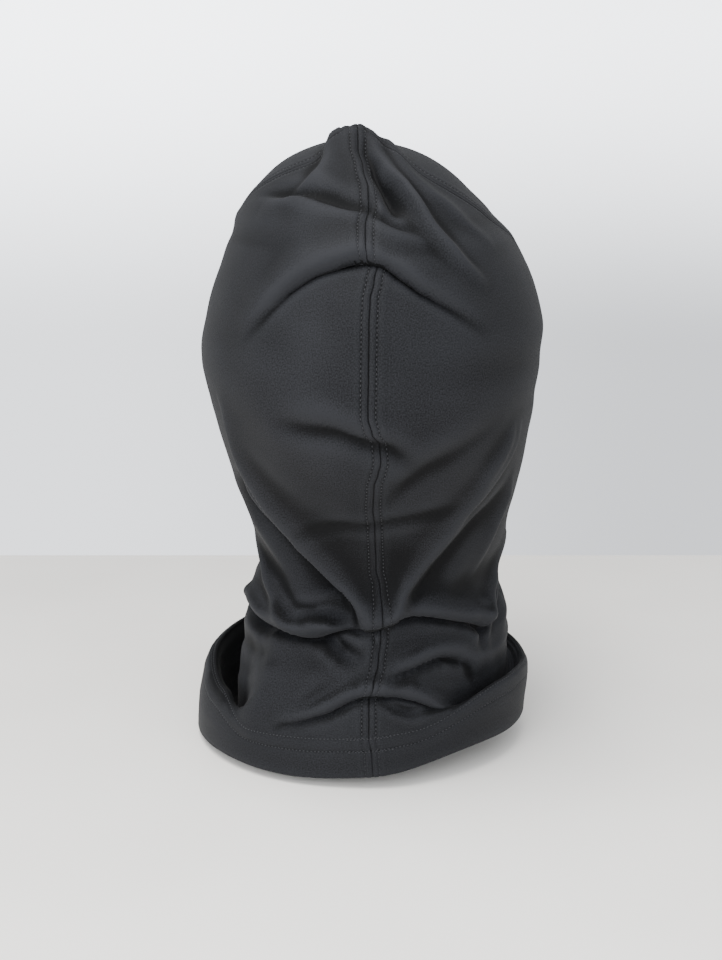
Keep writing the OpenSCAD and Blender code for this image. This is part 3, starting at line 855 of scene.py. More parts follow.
@dataclass
class SidePanel(Panel):
    """One side of the hood, from the crown seam and the eye opening down to the lower edge."""

    side: Side = Side.LEFT
    middle_cols: int = 150
    body_rows: int = 172
    # where the body's rows lie closer: depth, reach and how much closer
    close_rows: tuple = ((106.0, 13.0, 1.2), (-52.0, 13.0, 0.8), (-100.0, 26.0, 0.5), (142.0, 10.0, 1.4))
    # height of the hem's fine rows above the lower edge
    hem_top: float = 24.0

    def build(self) -> bpy.types.Object:
        """Builds the panel.

        Returns:
            Its object.
        """
        form, section = self.form, self.section
        fold_off, fold_lift = section.turned_edge(section.allowance, section.under_rows)
        band = section.seam_band()
        near = np.concatenate([fold_off, band])
        near_lift = np.concatenate([fold_lift, section.seam(band)])
        share = self.column_shares()
        rows = self.upper_rows(near, near_lift, share)
        start_turn, start_level, _ = rows[-1]
        start_run = np.where(start_level < 0, start_level * form.degree_run, start_level)
        end_run = form.hood_drop - self.hem_top
        hem_turn = self.hem_turns(near, share)
        for run_down in self.row_runs(start_run, end_run):
            rows.append((blend(start_turn, hem_turn, ease((run_down - start_run) / (end_run - start_run))),
                         np.where(run_down < 0, run_down / form.degree_run, run_down),
                         np.zeros(len(hem_turn))))
        rows += self.hem_rows(hem_turn)
        turn, level, lift = (np.array(part) for part in zip(*rows))
        turn = self.keep_off(turn, level, near)
        # the relief beside the two seams, and no more than one fold's depth where two turned edges cross
        beside_seam = np.zeros(turn.shape[1])
        beside_seam[: len(near)], beside_seam[-len(near):] = near_lift, near_lift[::-1]
        under_rows, under_cols = np.zeros(turn.shape, bool), np.zeros(turn.shape, bool)
        under_rows[: section.under_rows], under_rows[-section.hem_under_rows:] = True, True
        under_cols[:, : section.under_rows], under_cols[:, -section.under_rows:] = True, True
        total = np.where(under_rows | under_cols, np.minimum(lift, beside_seam), lift + beside_seam)
        return self.sheet(turn * self.side.value, level, total, under_rows & under_cols)

    def column_shares(self) -> np.ndarray:
        """Where the body's columns lie, from 0 at the back to 1 at the front, closer together at the back."""
        table = np.linspace(0.0, 1.0, 400)
        filled = np.cumsum(1.0 - 0.62 * ease((table - 0.46) / 0.2))
        filled = (filled - filled[0]) / (filled[-1] - filled[0])
        return np.interp(np.linspace(0.0, 1.0, self.middle_cols + 2)[1:-1], filled, table)

    def upper_edge(self, near: np.ndarray, share: np.ndarray) -> tuple[np.ndarray, np.ndarray, np.ndarray]:
        """The panel's upper edge, which is the crown seam and then the eye opening.

        Args:
            near: the distances from the back or front seam of the columns beside it.
            share: where the body's columns lie.

        Returns:
            Each column's distance past the eye's corner, its point on the edge and the edge's run there.
        """
        fine = np.linspace(0.0, 1.0, 2401)
        seam, eye = self.form.crown_seam(fine, self.side), self.form.lower_eye_edge(fine, self.side)
        edge = np.concatenate([seam, eye[1:]]) * np.array([self.side.value, 1.0, 1.0])
        run = run_along(edge)
        at_back = np.interp(near, edge[:400, 0], run[:400])
        at_front = np.interp(near, edge[:-1201:-1, 0], run[:-1201:-1])
        at = np.concatenate([at_back, blend(at_back[-1], at_front[-1], share), at_front[::-1]])
        line, before, after = (read_along(edge, run, at + step) for step in (0.0, -1.2, 1.2))
        return at - run[len(seam) - 1], line, after - before

    def upper_rows(self, near: np.ndarray, near_lift: np.ndarray, share: np.ndarray) -> list:
        """The rows beside the upper edge, from the raw edge under it to the body.

        Args:
            near: the rows' distances from the crown seam.
            near_lift: the lift of the cloth at each distance.
            share: where the body's columns lie.

        Returns:
            The turn, level and lift of each row.
        """
        section = self.section
        past_corner, line, run = self.upper_edge(near, share)
        on_eye = ease((past_corner + 2.0) / 4.0)
        eye_off, _ = section.turned_edge(section.eye_turn, section.under_rows)
        rows = []
        for k, off in enumerate(near):
            if k < len(eye_off):
                point = self.offset_line(line, run, blend(off, eye_off[k], on_eye))
                relief = near_lift[k]
            else:
                reach = blend(off, off * section.eye_band / section.band, on_eye)
                point = self.offset_line(line, run, reach)
                settle(point, (0.5 * hill(past_corner, 0.0, 15.0) * min(1.0, off / 4.0))[1:-1, None])
                relief = blend(section.seam(off), section.hem(reach, section.eye_rows), on_eye)
            turn, level = self.form.place_of(point)
            rows.append((turn, level, relief + np.zeros(len(line))))
        return rows

    def hem_rows(self, turn: np.ndarray) -> list:
        """The rows of the neck's hem and of the cloth turned up inside it.

        Args:
            turn: the turn of each column at the lower edge.

        Returns:
            The turn, level and lift of each row.
        """
        section = self.section
        runs = (22.5, 19.0, 5), (19.0, 14.6, 3), (14.6, 12.6, 4), (12.6, section.flat, 6)
        off = [*steps(*runs), section.flat]
        lift = [float(section.hem(np.array(each), section.hem_rows)) for each in off]
        up_off, up_lift = section.turned_edge(self.form.hem_turn, section.hem_under_rows)
        return [(turn, np.full(len(turn), self.form.hood_drop - each), np.full(len(turn), stands))
                for each, stands in zip([*off, *up_off[::-1]], [*lift, *up_lift[::-1]])]

    def row_runs(self, start: np.ndarray, end: float) -> np.ndarray:
        """Where the rows of the body lie, closer together where the cloth is folded most.

        Args:
            start: run down the hood at which each column's body begins.
            end: run down the hood at which they all end.

        Returns:
            The run down of each row and column.
        """
        table = np.linspace(-170.0, 175.0, 1400)
        weight = np.ones(len(table))
        for depth, reach, closer in self.close_rows:
            weight += closer * hill(table, depth, reach)
        filled = np.concatenate([[0.0], np.cumsum(0.5 * (weight[1:] + weight[:-1]) * np.diff(table))])
        first, last = np.interp(start, table, filled), np.interp(end, table, filled)
        share = np.linspace(0.0, 1.0, self.body_rows + 1)[1:, None]
        return np.interp(blend(first[None], last, share), filled, table)

    def offset_line(self, line: np.ndarray, run: np.ndarray, off: np.ndarray) -> np.ndarray:
        """The upper edge moved down over the panel, with its ends kept on the centre planes.

        Args:
            line: points of the upper edge.
            run: the edge's direction from the back to the front at each.
            off: how far each point moves.

        Returns:
            The moved points.
        """
        ends = np.minimum(line[:, 0], 8.0)[:, None] / 8.0
        straight = np.where(line[:, 1:2] > 0, np.array([[0.0, 1.0, 0.0]]), np.array([[0.0, 0.0, -1.0]]))
        towards = unit(blend(straight, -self.form.across(line, run), ends))
        return self.form.snap(line + off[:, None] * towards)

    def hem_turns(self, near: np.ndarray, share: np.ndarray) -> np.ndarray:
        """The turn of each column at the lower edge."""
        first = np.degrees(np.arcsin(near / self.form.width_keys[-1][1]))
        return np.concatenate([first, blend(first[-1], 180.0 - first[-1], share), 180.0 - first[::-1]])

    def keep_off(self, turn: np.ndarray, level: np.ndarray, near: np.ndarray) -> np.ndarray:
        """Moves the columns so that those near a seam stay at their distance from it.

        Args:
            turn: the turn of each grid point.
            level: the level of each.
            near: the distances from a seam of its columns.

        Returns:
            The new turns.
        """
        count = len(near)
        width = eased(self.form.width_keys, np.maximum(level, 0.0)) * self.form.ring_share(level)

        def turn_at(off: np.ndarray, columns: slice) -> np.ndarray:
            """The turn at a distance from the centre plane."""
            return np.degrees(np.arcsin(np.clip(off / width[:, columns], -1.0, 1.0)))

        made = turn.copy()
        made[:, :count] = turn_at(near[None], slice(0, count))
        made[:, -count:] = 180.0 - turn_at(near[::-1][None], slice(-count, None))
        body = slice(count, -count)
        start, end = turn[:, count - 1: count], turn[:, -count: turn.shape[1] - count + 1]
        share = np.clip((turn[:, body] - start) / np.maximum(end - start, 1e-6), 0.0, 1.0)
        share = np.maximum.accumulate(share, axis=1)
        share = blend(share, np.linspace(0.0, 1.0, share.shape[1] + 2)[1:-1][None], 0.05)
        made[:, body] = blend(made[:, count - 1: count], made[:, -count: made.shape[1] - count + 1], share)
        return made


@dataclass
class CrownPanel(Panel):
    """The top of the hood, from the crown seam forward to the brow."""

    half_cols: int = 84
    body_rows: int = 84
    # the share of the way to the eye's corners at which the panel ends
    last: float = 0.992
    # widths of the panel below which its fine rows draw together
    seam_taper: float = 26.0
    brow_taper: float = 46.0

    def build(self) -> bpy.types.Object:
        """Builds the panel.

        Returns:
            Its object.
        """
        form, section = self.form, self.section
        half = self.last * np.linspace(0.0, 1.0, self.half_cols + 1) ** 0.92
        share = np.concatenate([-half[::-1], half[1:]])
        left = form.crown_seam(np.maximum(share, 0.0), Side.LEFT)
        right = form.crown_seam(np.maximum(-share, 0.0), Side.RIGHT)
        seam = np.where((share >= 0)[:, None], left, right)
        brow = form.upper_eye_edge(np.sin(np.radians(90.0 * share)))
        # the fine rows draw together towards the eye's corners, where the seam meets the opening
        gap = length(seam - brow)[:, 0]
        scale = np.clip(gap / self.seam_taper, 0.04, 1.0)
        brow_scale = np.clip(gap / self.brow_taper, 0.03, 1.0)
        back_in = form.across(seam, np.gradient(seam, axis=0))
        front_in = -form.across(brow, np.gradient(brow, axis=0))
        near_tip = 0.5 * ease((np.abs(share) - 0.5) / 0.2)[1:-1, None]
        rows = []

        def add(point: np.ndarray, lift: np.ndarray) -> None:
            """Adds a row of the panel."""
            rows.append((*form.place_of(form.snap(point)), lift + np.zeros(len(share))))

        def beside_seam(off: float) -> np.ndarray:
            """The row at a distance from the crown seam."""
            return seam + (off * scale)[:, None] * back_in

        def beside_brow(off: float) -> np.ndarray:
            """The row at a distance from the eye opening."""
            return brow + (off * brow_scale)[:, None] * front_in

        for off, lift in zip(*section.turned_edge(section.allowance, section.under_rows)):
            add(beside_seam(off), blend(-0.4, lift, scale))
        for off in section.seam_band():
            start = beside_seam(off)
            settle(start, near_tip * min(1.0, off / 4.0))
            add(start, section.seam(np.array(off)) * scale)
        size = np.array([form.head_half_w, form.head_back, form.crown_h])
        first, last = unit(start / size), unit(beside_brow(section.eye_band) / size)
        angle = np.arccos(np.clip(np.sum(first * last, -1), -1, 1))[:, None]
        for q in np.linspace(0.0, 1.0, self.body_rows + 1)[1:-1]:
            way = np.sin((1 - q) * angle) * first + np.sin(q * angle) * last
            add(way / np.maximum(np.sin(angle), 1e-6) * size, np.zeros(len(share)))
        for off in [*steps((section.eye_band, 8.4, 7), (8.4, 4.0, 4), (4.0, section.flat, 7)), section.flat]:
            add(beside_brow(off), section.hem(np.array(off), section.eye_rows) * brow_scale)
        eye_off, eye_lift = section.turned_edge(section.eye_turn, section.under_rows)
        for off, lift in zip(eye_off[::-1], eye_lift[::-1]):
            add(beside_brow(off), blend(-0.4, lift, brow_scale))
        turn, level, lift = (np.array(part) for part in zip(*rows))
        return self.sheet(turn, level, lift, np.zeros(turn.shape, bool))


@dataclass
class StitchLine:
    """A line of sewing on the hood, as places that thread follows."""

    form: HoodForm
    turn: np.ndarray
    level: np.ndarray
    closed: bool = False

    @classmethod
    def beside(cls, form: HoodForm, line: np.ndarray, off: float, closed: bool = False) -> "StitchLine":
        """A stitch line at a distance from a line on the hood.

        Args:
            form: the hood.
            line: points of the line.
            off: how far the stitches lie to its left.
            closed: whether the line goes all round.

        Returns:
            The stitch line.
        """
        run = np.roll(line, -1, 0) - np.roll(line, 1, 0) if closed else np.gradient(line, axis=0)
        return cls(form, *form.place_of(form.snap(line + off * form.across(line, run))), closed)

    def points(self, lift: float) -> tuple[np.ndarray, np.ndarray]:
        """The line on the worn cloth.

        Args:
            lift: distance off the cloth's outside.

        Returns:
            Its points and the outward direction at each.
        """
        low, high = (self.form.worn(self.turn, self.level, lift + more) for more in (0.0, 1.0))
        return low, unit(high - low)

    def sampled(self, pitch: float, lift: float) -> tuple[np.ndarray, np.ndarray, np.ndarray]:
        """Even places along the line.

        Args:
            pitch: distance from one to the next.
            lift: distance off the cloth's outside.

        Returns:
            Points, forward directions and outward directions.
        """
        point, out = self.points(lift)
        if self.closed:
            point, out = np.vstack([point, point[:1]]), np.vstack([out, out[:1]])
        run = run_along(point)
        count = max(2, round(run[-1] / pitch))
        at = (np.arange(count) + 0.5) * run[-1] / count
        ahead = unit(read_along(point, run, at + 0.4 * pitch) - read_along(point, run, at - 0.4 * pitch))
        normal = read_along(out, run, at)
        normal = unit(normal - np.sum(normal * ahead, -1, keepdims=True) * ahead)
        return read_along(point, run, at), ahead, normal


@dataclass
class NeedleThread:
    """A row of stitches on the outside.

    Attributes:
        line: where it runs.
        pitch: distance from one stitch to the next.
        lift: height of the stitches' middles over the plain outside.
        thick: thickness of the thread.
        share: how much of the pitch shows as thread.
        taper, dip: how much a stitch's ends thin out and go down into the cloth.
        overlap: where the row is sewn over once more, if it is.
        overlap_pitch, overlap_rise: the pitch there, and how much higher those stitches lie.
    """

    line: StitchLine
    pitch: float
    lift: float
    thick: float = 0.46
    share: float = 0.56
    taper: float = 0.35
    dip: float = 0.36
    overlap: StitchLine | None = None
    overlap_pitch: float = 1.5
    overlap_rise: float = 0.22

    def stitch(self) -> bpy.types.Mesh:
        """One stitch along X, whose ends go down into the cloth."""
        bm = bmesh.new()
        span = self.pitch * self.share
        radius = self.thick / 2
        bmesh.ops.create_cone(bm, cap_ends=True, segments=6, radius1=radius, radius2=radius, depth=span)
        turned = Matrix.Rotation(math.radians(90.0), 3, "Y")
        bmesh.ops.rotate(bm, verts=bm.verts[:], cent=(0, 0, 0), matrix=turned)
        long_edges = [e for e in bm.edges if abs((e.verts[0].co - e.verts[1].co).x) > span * 0.9]
        bmesh.ops.subdivide_edges(bm, edges=long_edges, cuts=3)
        for vert in bm.verts:
            end = abs(vert.co.x) / (span / 2)
            vert.co.y *= 1.0 - self.taper * end ** 3
            vert.co.z = vert.co.z * (1.0 - self.taper * end ** 3) - self.dip * end ** 3
        bmesh.ops.recalc_face_normals(bm, faces=bm.faces[:])
        for face in bm.faces:
            face.smooth = True
        return mesh_from("stitch", bm)

    def build(self, name: str) -> bpy.types.Object:
        """Builds the row.

        Args:
            name: the piece's name.

        Returns:
            Its object.
        """
        one = self.stitch()
        rows = [self.line.sampled(self.pitch, self.lift)]
        if self.overlap:
            rows.append(self.overlap.sampled(self.overlap_pitch, self.lift + self.overlap_rise))
        point, ahead, normal = (np.concatenate(parts) for parts in zip(*rows))
        bm = bmesh.new()
        for _ in range(len(point)):
            bm.from_mesh(one)
        mesh = mesh_from(name, bm)
        shape = np.empty(len(one.vertices) * 3)
        one.vertices.foreach_get("co", shape)
        axes = np.stack([ahead, np.cross(normal, ahead), normal], 1)
        placed = np.einsum("vk,nkc->nvc", shape.reshape(-1, 3), axes) + point[:, None]
        mesh.vertices.foreach_set("co", (placed * MM).ravel())
        mesh.update()
        bpy.data.meshes.remove(one)
        return in_scene(name, mesh)


@dataclass
class InsideThread:
    """A thread that runs on the inside or in the seam, wavering from side to side.

    Attributes:
        line: where it runs.
        pitch: distance along the line from one loop to the next.
        swing: how far it goes to each side.
        lift: its height over the cloth's outside.
        thick: thickness of the thread.
        beats: the share of the swing at each point of a loop.
        rise: how much higher it lies at the ends of the swing.
    """

    line: StitchLine
    pitch: float
    swing: float
    lift: float
    thick: float = 0.3
    beats: tuple = (-1.0, -0.6, 0.6, 1.0, 0.6, -0.6)
    rise: float = 0.0

    def build(self, name: str) -> bpy.types.Object:
        """Builds the thread.

        Args:
            name: the piece's name.

        Returns:
            Its object.
        """
        step = self.pitch / len(self.beats)
        point, ahead, normal = self.line.sampled(step, self.lift)
        beat = np.resize(np.array(self.beats), len(point))
        across = np.cross(normal, ahead)
        point = point + (self.swing * beat)[:, None] * across + (self.rise * np.abs(beat))[:, None] * normal
        curve = bpy.data.curves.new(name, "CURVE")
        curve.dimensions = "3D"
        curve.bevel_depth, curve.bevel_resolution = self.thick / 2 * MM, 0
        curve.use_fill_caps = True
        spline = curve.splines.new("POLY")
        spline.points.add(len(point) - 1)
        spline.points.foreach_set("co", np.hstack([point * MM, np.ones((len(point), 1))]).ravel())
        spline.use_cyclic_u = self.line.closed
        holder = in_scene(name + "_path", curve)
        mesh = bpy.data.meshes.new_from_object(holder.evaluated_get(bpy.context.evaluated_depsgraph_get()))
        mesh.name = name
        bpy.data.objects.remove(holder)
        bpy.data.curves.remove(curve)
        return in_scene(name, mesh)


def add_group(name: str, inputs: dict, outputs: tuple) -> bpy.types.ShaderNodeTree:
    """Starts a shader node group.

    Args:
        name: its name.
        inputs: socket names with their socket type and default.
        outputs: socket names with their socket type.

    Returns:
        The group, with its input and output nodes in it.
    """
    group = bpy.data.node_groups.new(name, "ShaderNodeTree")
    for label, (kind, value) in inputs.items():
        socket = group.interface.new_socket(name=label, in_out="INPUT", socket_type=kind)
        if value is not None:
            socket.default_value = value
    for label, kind in outputs:
        group.interface.new_socket(name=label, in_out="OUTPUT", socket_type=kind)
    group.nodes.new("NodeGroupInput").name = "in"
    group.nodes.new("NodeGroupOutput").name = "out"
    return group


def give(tree: bpy.types.NodeTree, target: bpy.types.NodeSocket, value: object) -> None:
    """Links a socket to an input, or sets the input to a number."""
    if isinstance(value, bpy.types.NodeSocket):
        tree.links.new(value, target)
    else:
        target.default_value = value


def maths(tree: bpy.types.NodeTree, operation: str, first: object,
          second: object = None) -> bpy.types.NodeSocket:
    """Adds a Math node.

    Args:
        tree: where it goes.
        operation: what it does.
        first: a socket or a number.
        second: a socket or a number.

    Returns:
        Its output.
    """
    node = tree.nodes.new("ShaderNodeMath")
    node.operation = operation
    give(tree, node.inputs[0], first)
    if second is not None:
        give(tree, node.inputs[1], second)
    return node.outputs[0]


def noise(tree: bpy.types.NodeTree, place: bpy.types.NodeSocket, scale: object,
          detail: float) -> bpy.types.NodeSocket:
    """Adds a noise texture.

    Args:
        tree: where it goes.
        place: what it is read at.
        scale: a socket or a number.
        detail: how many finer layers it has.

    Returns:
        Its factor.
    """
    node = tree.nodes.new("ShaderNodeTexNoise")
    node.inputs["Detail"].default_value = detail
    tree.links.new(place, node.inputs["Vector"])
    give(tree, node.inputs["Scale"], scale)
    return node.outputs["Fac"]


def map_range(tree: bpy.types.NodeTree, value: bpy.types.NodeSocket, span: tuple, out: tuple,
              kind: str = "LINEAR") -> bpy.types.NodeSocket:
    """Adds a Map Range node.

    Args:
        tree: where it goes.
        value: what it maps.
        span: the two ends of the value's range.
        out: what they become.
        kind: how it goes from one to the other.

    Returns:
        Its result.
    """
    node = tree.nodes.new("ShaderNodeMapRange")
    node.interpolation_type = kind
    tree.links.new(value, node.inputs["Value"])
    node.inputs["From Min"].default_value, node.inputs["From Max"].default_value = span
    node.inputs["To Min"].default_value, node.inputs["To Max"].default_value = out
    return node.outputs["Result"]


def use_group(tree: bpy.types.NodeTree, group: bpy.types.NodeTree,
              settings: dict) -> bpy.types.ShaderNodeGroup:
    """Adds a node group.

    Args:
        tree: where it goes.
        group: the group.
        settings: a socket or a number for each input by name.

    Returns:
        Its node.
    """
    node = tree.nodes.new("ShaderNodeGroup")
    node.node_tree = group
    for label, value in settings.items():
        give(tree, node.inputs[label], value)
    return node


def knit_grain() -> bpy.types.ShaderNodeTree:
    """The fine face of a stretch knit, from a cloth map in millimetres."""
    made = bpy.data.node_groups.get("knit_grain")
    if made:
        return made
    made = add_group("knit_grain", {"Cloth": ("NodeSocketVector", None), "Gauge": ("NodeSocketFloat", 0.6)},
                     (("Height", "NodeSocketFloat"), ("Shade", "NodeSocketFloat")))
    source, target = made.nodes["in"], made.nodes["out"]
    split = made.nodes.new("ShaderNodeSeparateXYZ")
    made.links.new(source.outputs["Cloth"], split.inputs[0])
    turn = maths(made, "DIVIDE", 2 * math.pi, source.outputs["Gauge"])
    wale = maths(made, "SINE", maths(made, "MULTIPLY", split.outputs[0], turn))
    tighter = maths(made, "MULTIPLY", turn, 1.25)
    course = maths(made, "SINE", maths(made, "MULTIPLY", split.outputs[1], tighter))
    knit = maths(made, "MULTIPLY", maths(made, "ADD", wale, course), 0.25)
    fleck = noise(made, source.outputs["Cloth"], 1.6, 4.0)
    speck = maths(made, "ADD", maths(made, "MULTIPLY", fleck, 3.6), -1.3)
    height = maths(made, "ADD", knit, maths(made, "MULTIPLY", speck, 0.6))
    made.links.new(height, target.inputs["Height"])
    made.links.new(maths(made, "ADD", maths(made, "MULTIPLY", knit, 0.35), speck), target.inputs["Shade"])
    return made


def tone_drift() -> bpy.types.ShaderNodeTree:
    """Slow changes of tone over a surface, from its place."""
    made = bpy.data.node_groups.get("tone_drift")
    if made:
        return made
    made = add_group("tone_drift", {"Place": ("NodeSocketVector", None), "Size": ("NodeSocketFloat", 30.0)},
                     (("Drift", "NodeSocketFloat"),))
    source, target = made.nodes["in"], made.nodes["out"]
    drift = noise(made, source.outputs["Place"], source.outputs["Size"], 2.0)
    made.links.new(drift, target.inputs["Drift"])
    return made


@dataclass(frozen=True)
class Finish:
    """A surface whose colour runs between two tones.

    Attributes:
        name: the material's name.
        first, second: the tones at a mix of 0 and of 1.
        roughness: the shader's roughness.
        gloss: the shader's specular level.
    """

    name: str
    first: tuple
    second: tuple
    roughness: float
    gloss: float = 0.5

    def material(self) -> bpy.types.Material:
        """Makes the material, or finds it if it is made.

        Returns:
            The material.
        """
        made = bpy.data.materials.get(self.name)
        if made:
            return made
        made = bpy.data.materials.new(self.name)
        made.use_nodes = True
        tree = made.node_tree
        shader = tree.nodes["Principled BSDF"]
        shader.inputs["Roughness"].default_value = self.roughness
        shader.inputs["Specular IOR Level"].default_value = self.gloss
        mix = tree.nodes.new("ShaderNodeMix")
        mix.data_type = "RGBA"
        mix.inputs["A"].default_value, mix.inputs["B"].default_value = self.first, self.second
        place = tree.nodes.new("ShaderNodeTexCoord").outputs["Object"]
        tree.links.new(self.pattern(tree, shader, place), mix.inputs["Factor"])
        tree.links.new(mix.outputs["Result"], shader.inputs["Base Color"])
        return made

    def pattern(self, tree: bpy.types.NodeTree, shader: bpy.types.Node,
                place: bpy.types.NodeSocket) -> bpy.types.NodeSocket:
        """Adds what varies over the surface.

        Args:
            tree: the material's nodes.
            shader: its surface shader.
            place: the place on the object.

        Returns:
            The mix of the two tones.
        """
        raise NotImplementedError

    @staticmethod
    def bump(tree: bpy.types.NodeTree, shader: bpy.types.Node, height: bpy.types.NodeSocket,
             strength: float, depth: float) -> None:
        """Gives the shader a fine relief.

        Args:
            tree: the material's nodes.
            shader: its surface shader.
            height: the relief, from 0 to 1.
            strength: how much of it shows.
            depth: its full depth in metres.
        """
        node = tree.nodes.new("ShaderNodeBump")
        node.inputs["Strength"].default_value, node.inputs["Distance"].default_value = strength, depth
        tree.links.new(height, node.inputs["Height"])
        tree.links.new(node.outputs["Normal"], shader.inputs["Normal"])


@dataclass(frozen=True)
class KnitFinish(Finish):
    """Charcoal stretch knit with a soft sheen, with painted shade in its creases and seam grooves and a
    painted highlight on its crests.
    """

    name: str = "charcoal_knit"
    first: tuple = (0.0010, 0.0011, 0.0015, 1.0)
    second: tuple = (0.0150, 0.0156, 0.0181, 1.0)
    roughness: float = 0.68
    gloss: float = 0.1
    sheen: float = 0.022
    sheen_roughness: float = 0.45
    # strength of the painted crease shade and crest highlight from the mesh's proud layer
    fold_shade_strength: float = 1.05
    gauge: float = 0.62
    drift: float = 26.0

    def pattern(self, tree: bpy.types.NodeTree, shader: bpy.types.Node,
                place: bpy.types.NodeSocket) -> bpy.types.NodeSocket:
        """Adds the knit's grain, a slow drift of tone, and painted shade in creases and seam grooves with a
        painted highlight on crests. See Finish.pattern.
        """
        shader.inputs["Sheen Weight"].default_value = self.sheen
        shader.inputs["Sheen Roughness"].default_value = self.sheen_roughness
        cloth = tree.nodes.new("ShaderNodeUVMap")
        cloth.uv_map = "cloth"
        grain = use_group(tree, knit_grain(), {"Cloth": cloth.outputs["UV"], "Gauge": self.gauge})
        drift = use_group(tree, tone_drift(), {"Place": place, "Size": self.drift})
        self.bump(tree, shader, grain.outputs["Height"], 0.35, 0.00012)
        shade = maths(tree, "ADD", maths(tree, "MULTIPLY", grain.outputs["Shade"], 0.6),
                      maths(tree, "MULTIPLY", drift.outputs["Drift"], 0.4))
        proud = tree.nodes.new("ShaderNodeAttribute")
        proud.attribute_name = "proud"
        # painted shade in creases and seam grooves and a painted highlight on crests, from the proud layer
        return maths(tree, "ADD", shade, maths(tree, "MULTIPLY", proud.outputs["Fac"], self.fold_shade_strength))


@dataclass(frozen=True)
class ThreadFinish(Finish):
    """Black polyester sewing thread with its twist."""

    name: str = "black_thread"
    first: tuple = (0.010, 0.010, 0.012, 1.0)
    second: tuple = (0.030, 0.031, 0.034, 1.0)
    roughness: float = 0.5
    gloss: float = 0.2

    def pattern(self, tree: bpy.types.NodeTree, shader: bpy.types.Node,
                place: bpy.types.NodeSocket) -> bpy.types.NodeSocket:
        """Adds the thread's twist. See Finish.pattern."""
        twist = noise(tree, place, 2600.0, 1.0)
        self.bump(tree, shader, twist, 0.4, 0.00008)
        return twist


@dataclass(frozen=True)
class TableFinish(Finish):
    """A pale matt table top, with painted shade that darkens it towards its far edge."""

    name: str = "pale_table"
    first: tuple = (0.92, 0.90, 0.86, 1.0)
    second: tuple = (0.58, 0.56, 0.53, 1.0)
    roughness: float = 0.55
    # span of depth over which painted shade darkens the table towards its far edge
    far: tuple = (-0.26, 0.22)

    def pattern(self, tree: bpy.types.NodeTree, shader: bpy.types.Node,
                place: bpy.types.NodeSocket) -> bpy.types.NodeSocket:
        """Adds faint marks and painted shade that darkens the far side. See Finish.pattern."""
        drift = use_group(tree, tone_drift(), {"Place": place, "Size": 9.0})
        split = tree.nodes.new("ShaderNodeSeparateXYZ")
        tree.links.new(place, split.inputs[0])
        # painted shade: the table's colour darkens towards its far edge
        far = map_range(tree, split.outputs[1], self.far, (1.0, 0.0))
        return maths(tree, "ADD", maths(tree, "MULTIPLY", drift.outputs["Drift"], 0.3),
                     maths(tree, "MULTIPLY", far, 0.7))


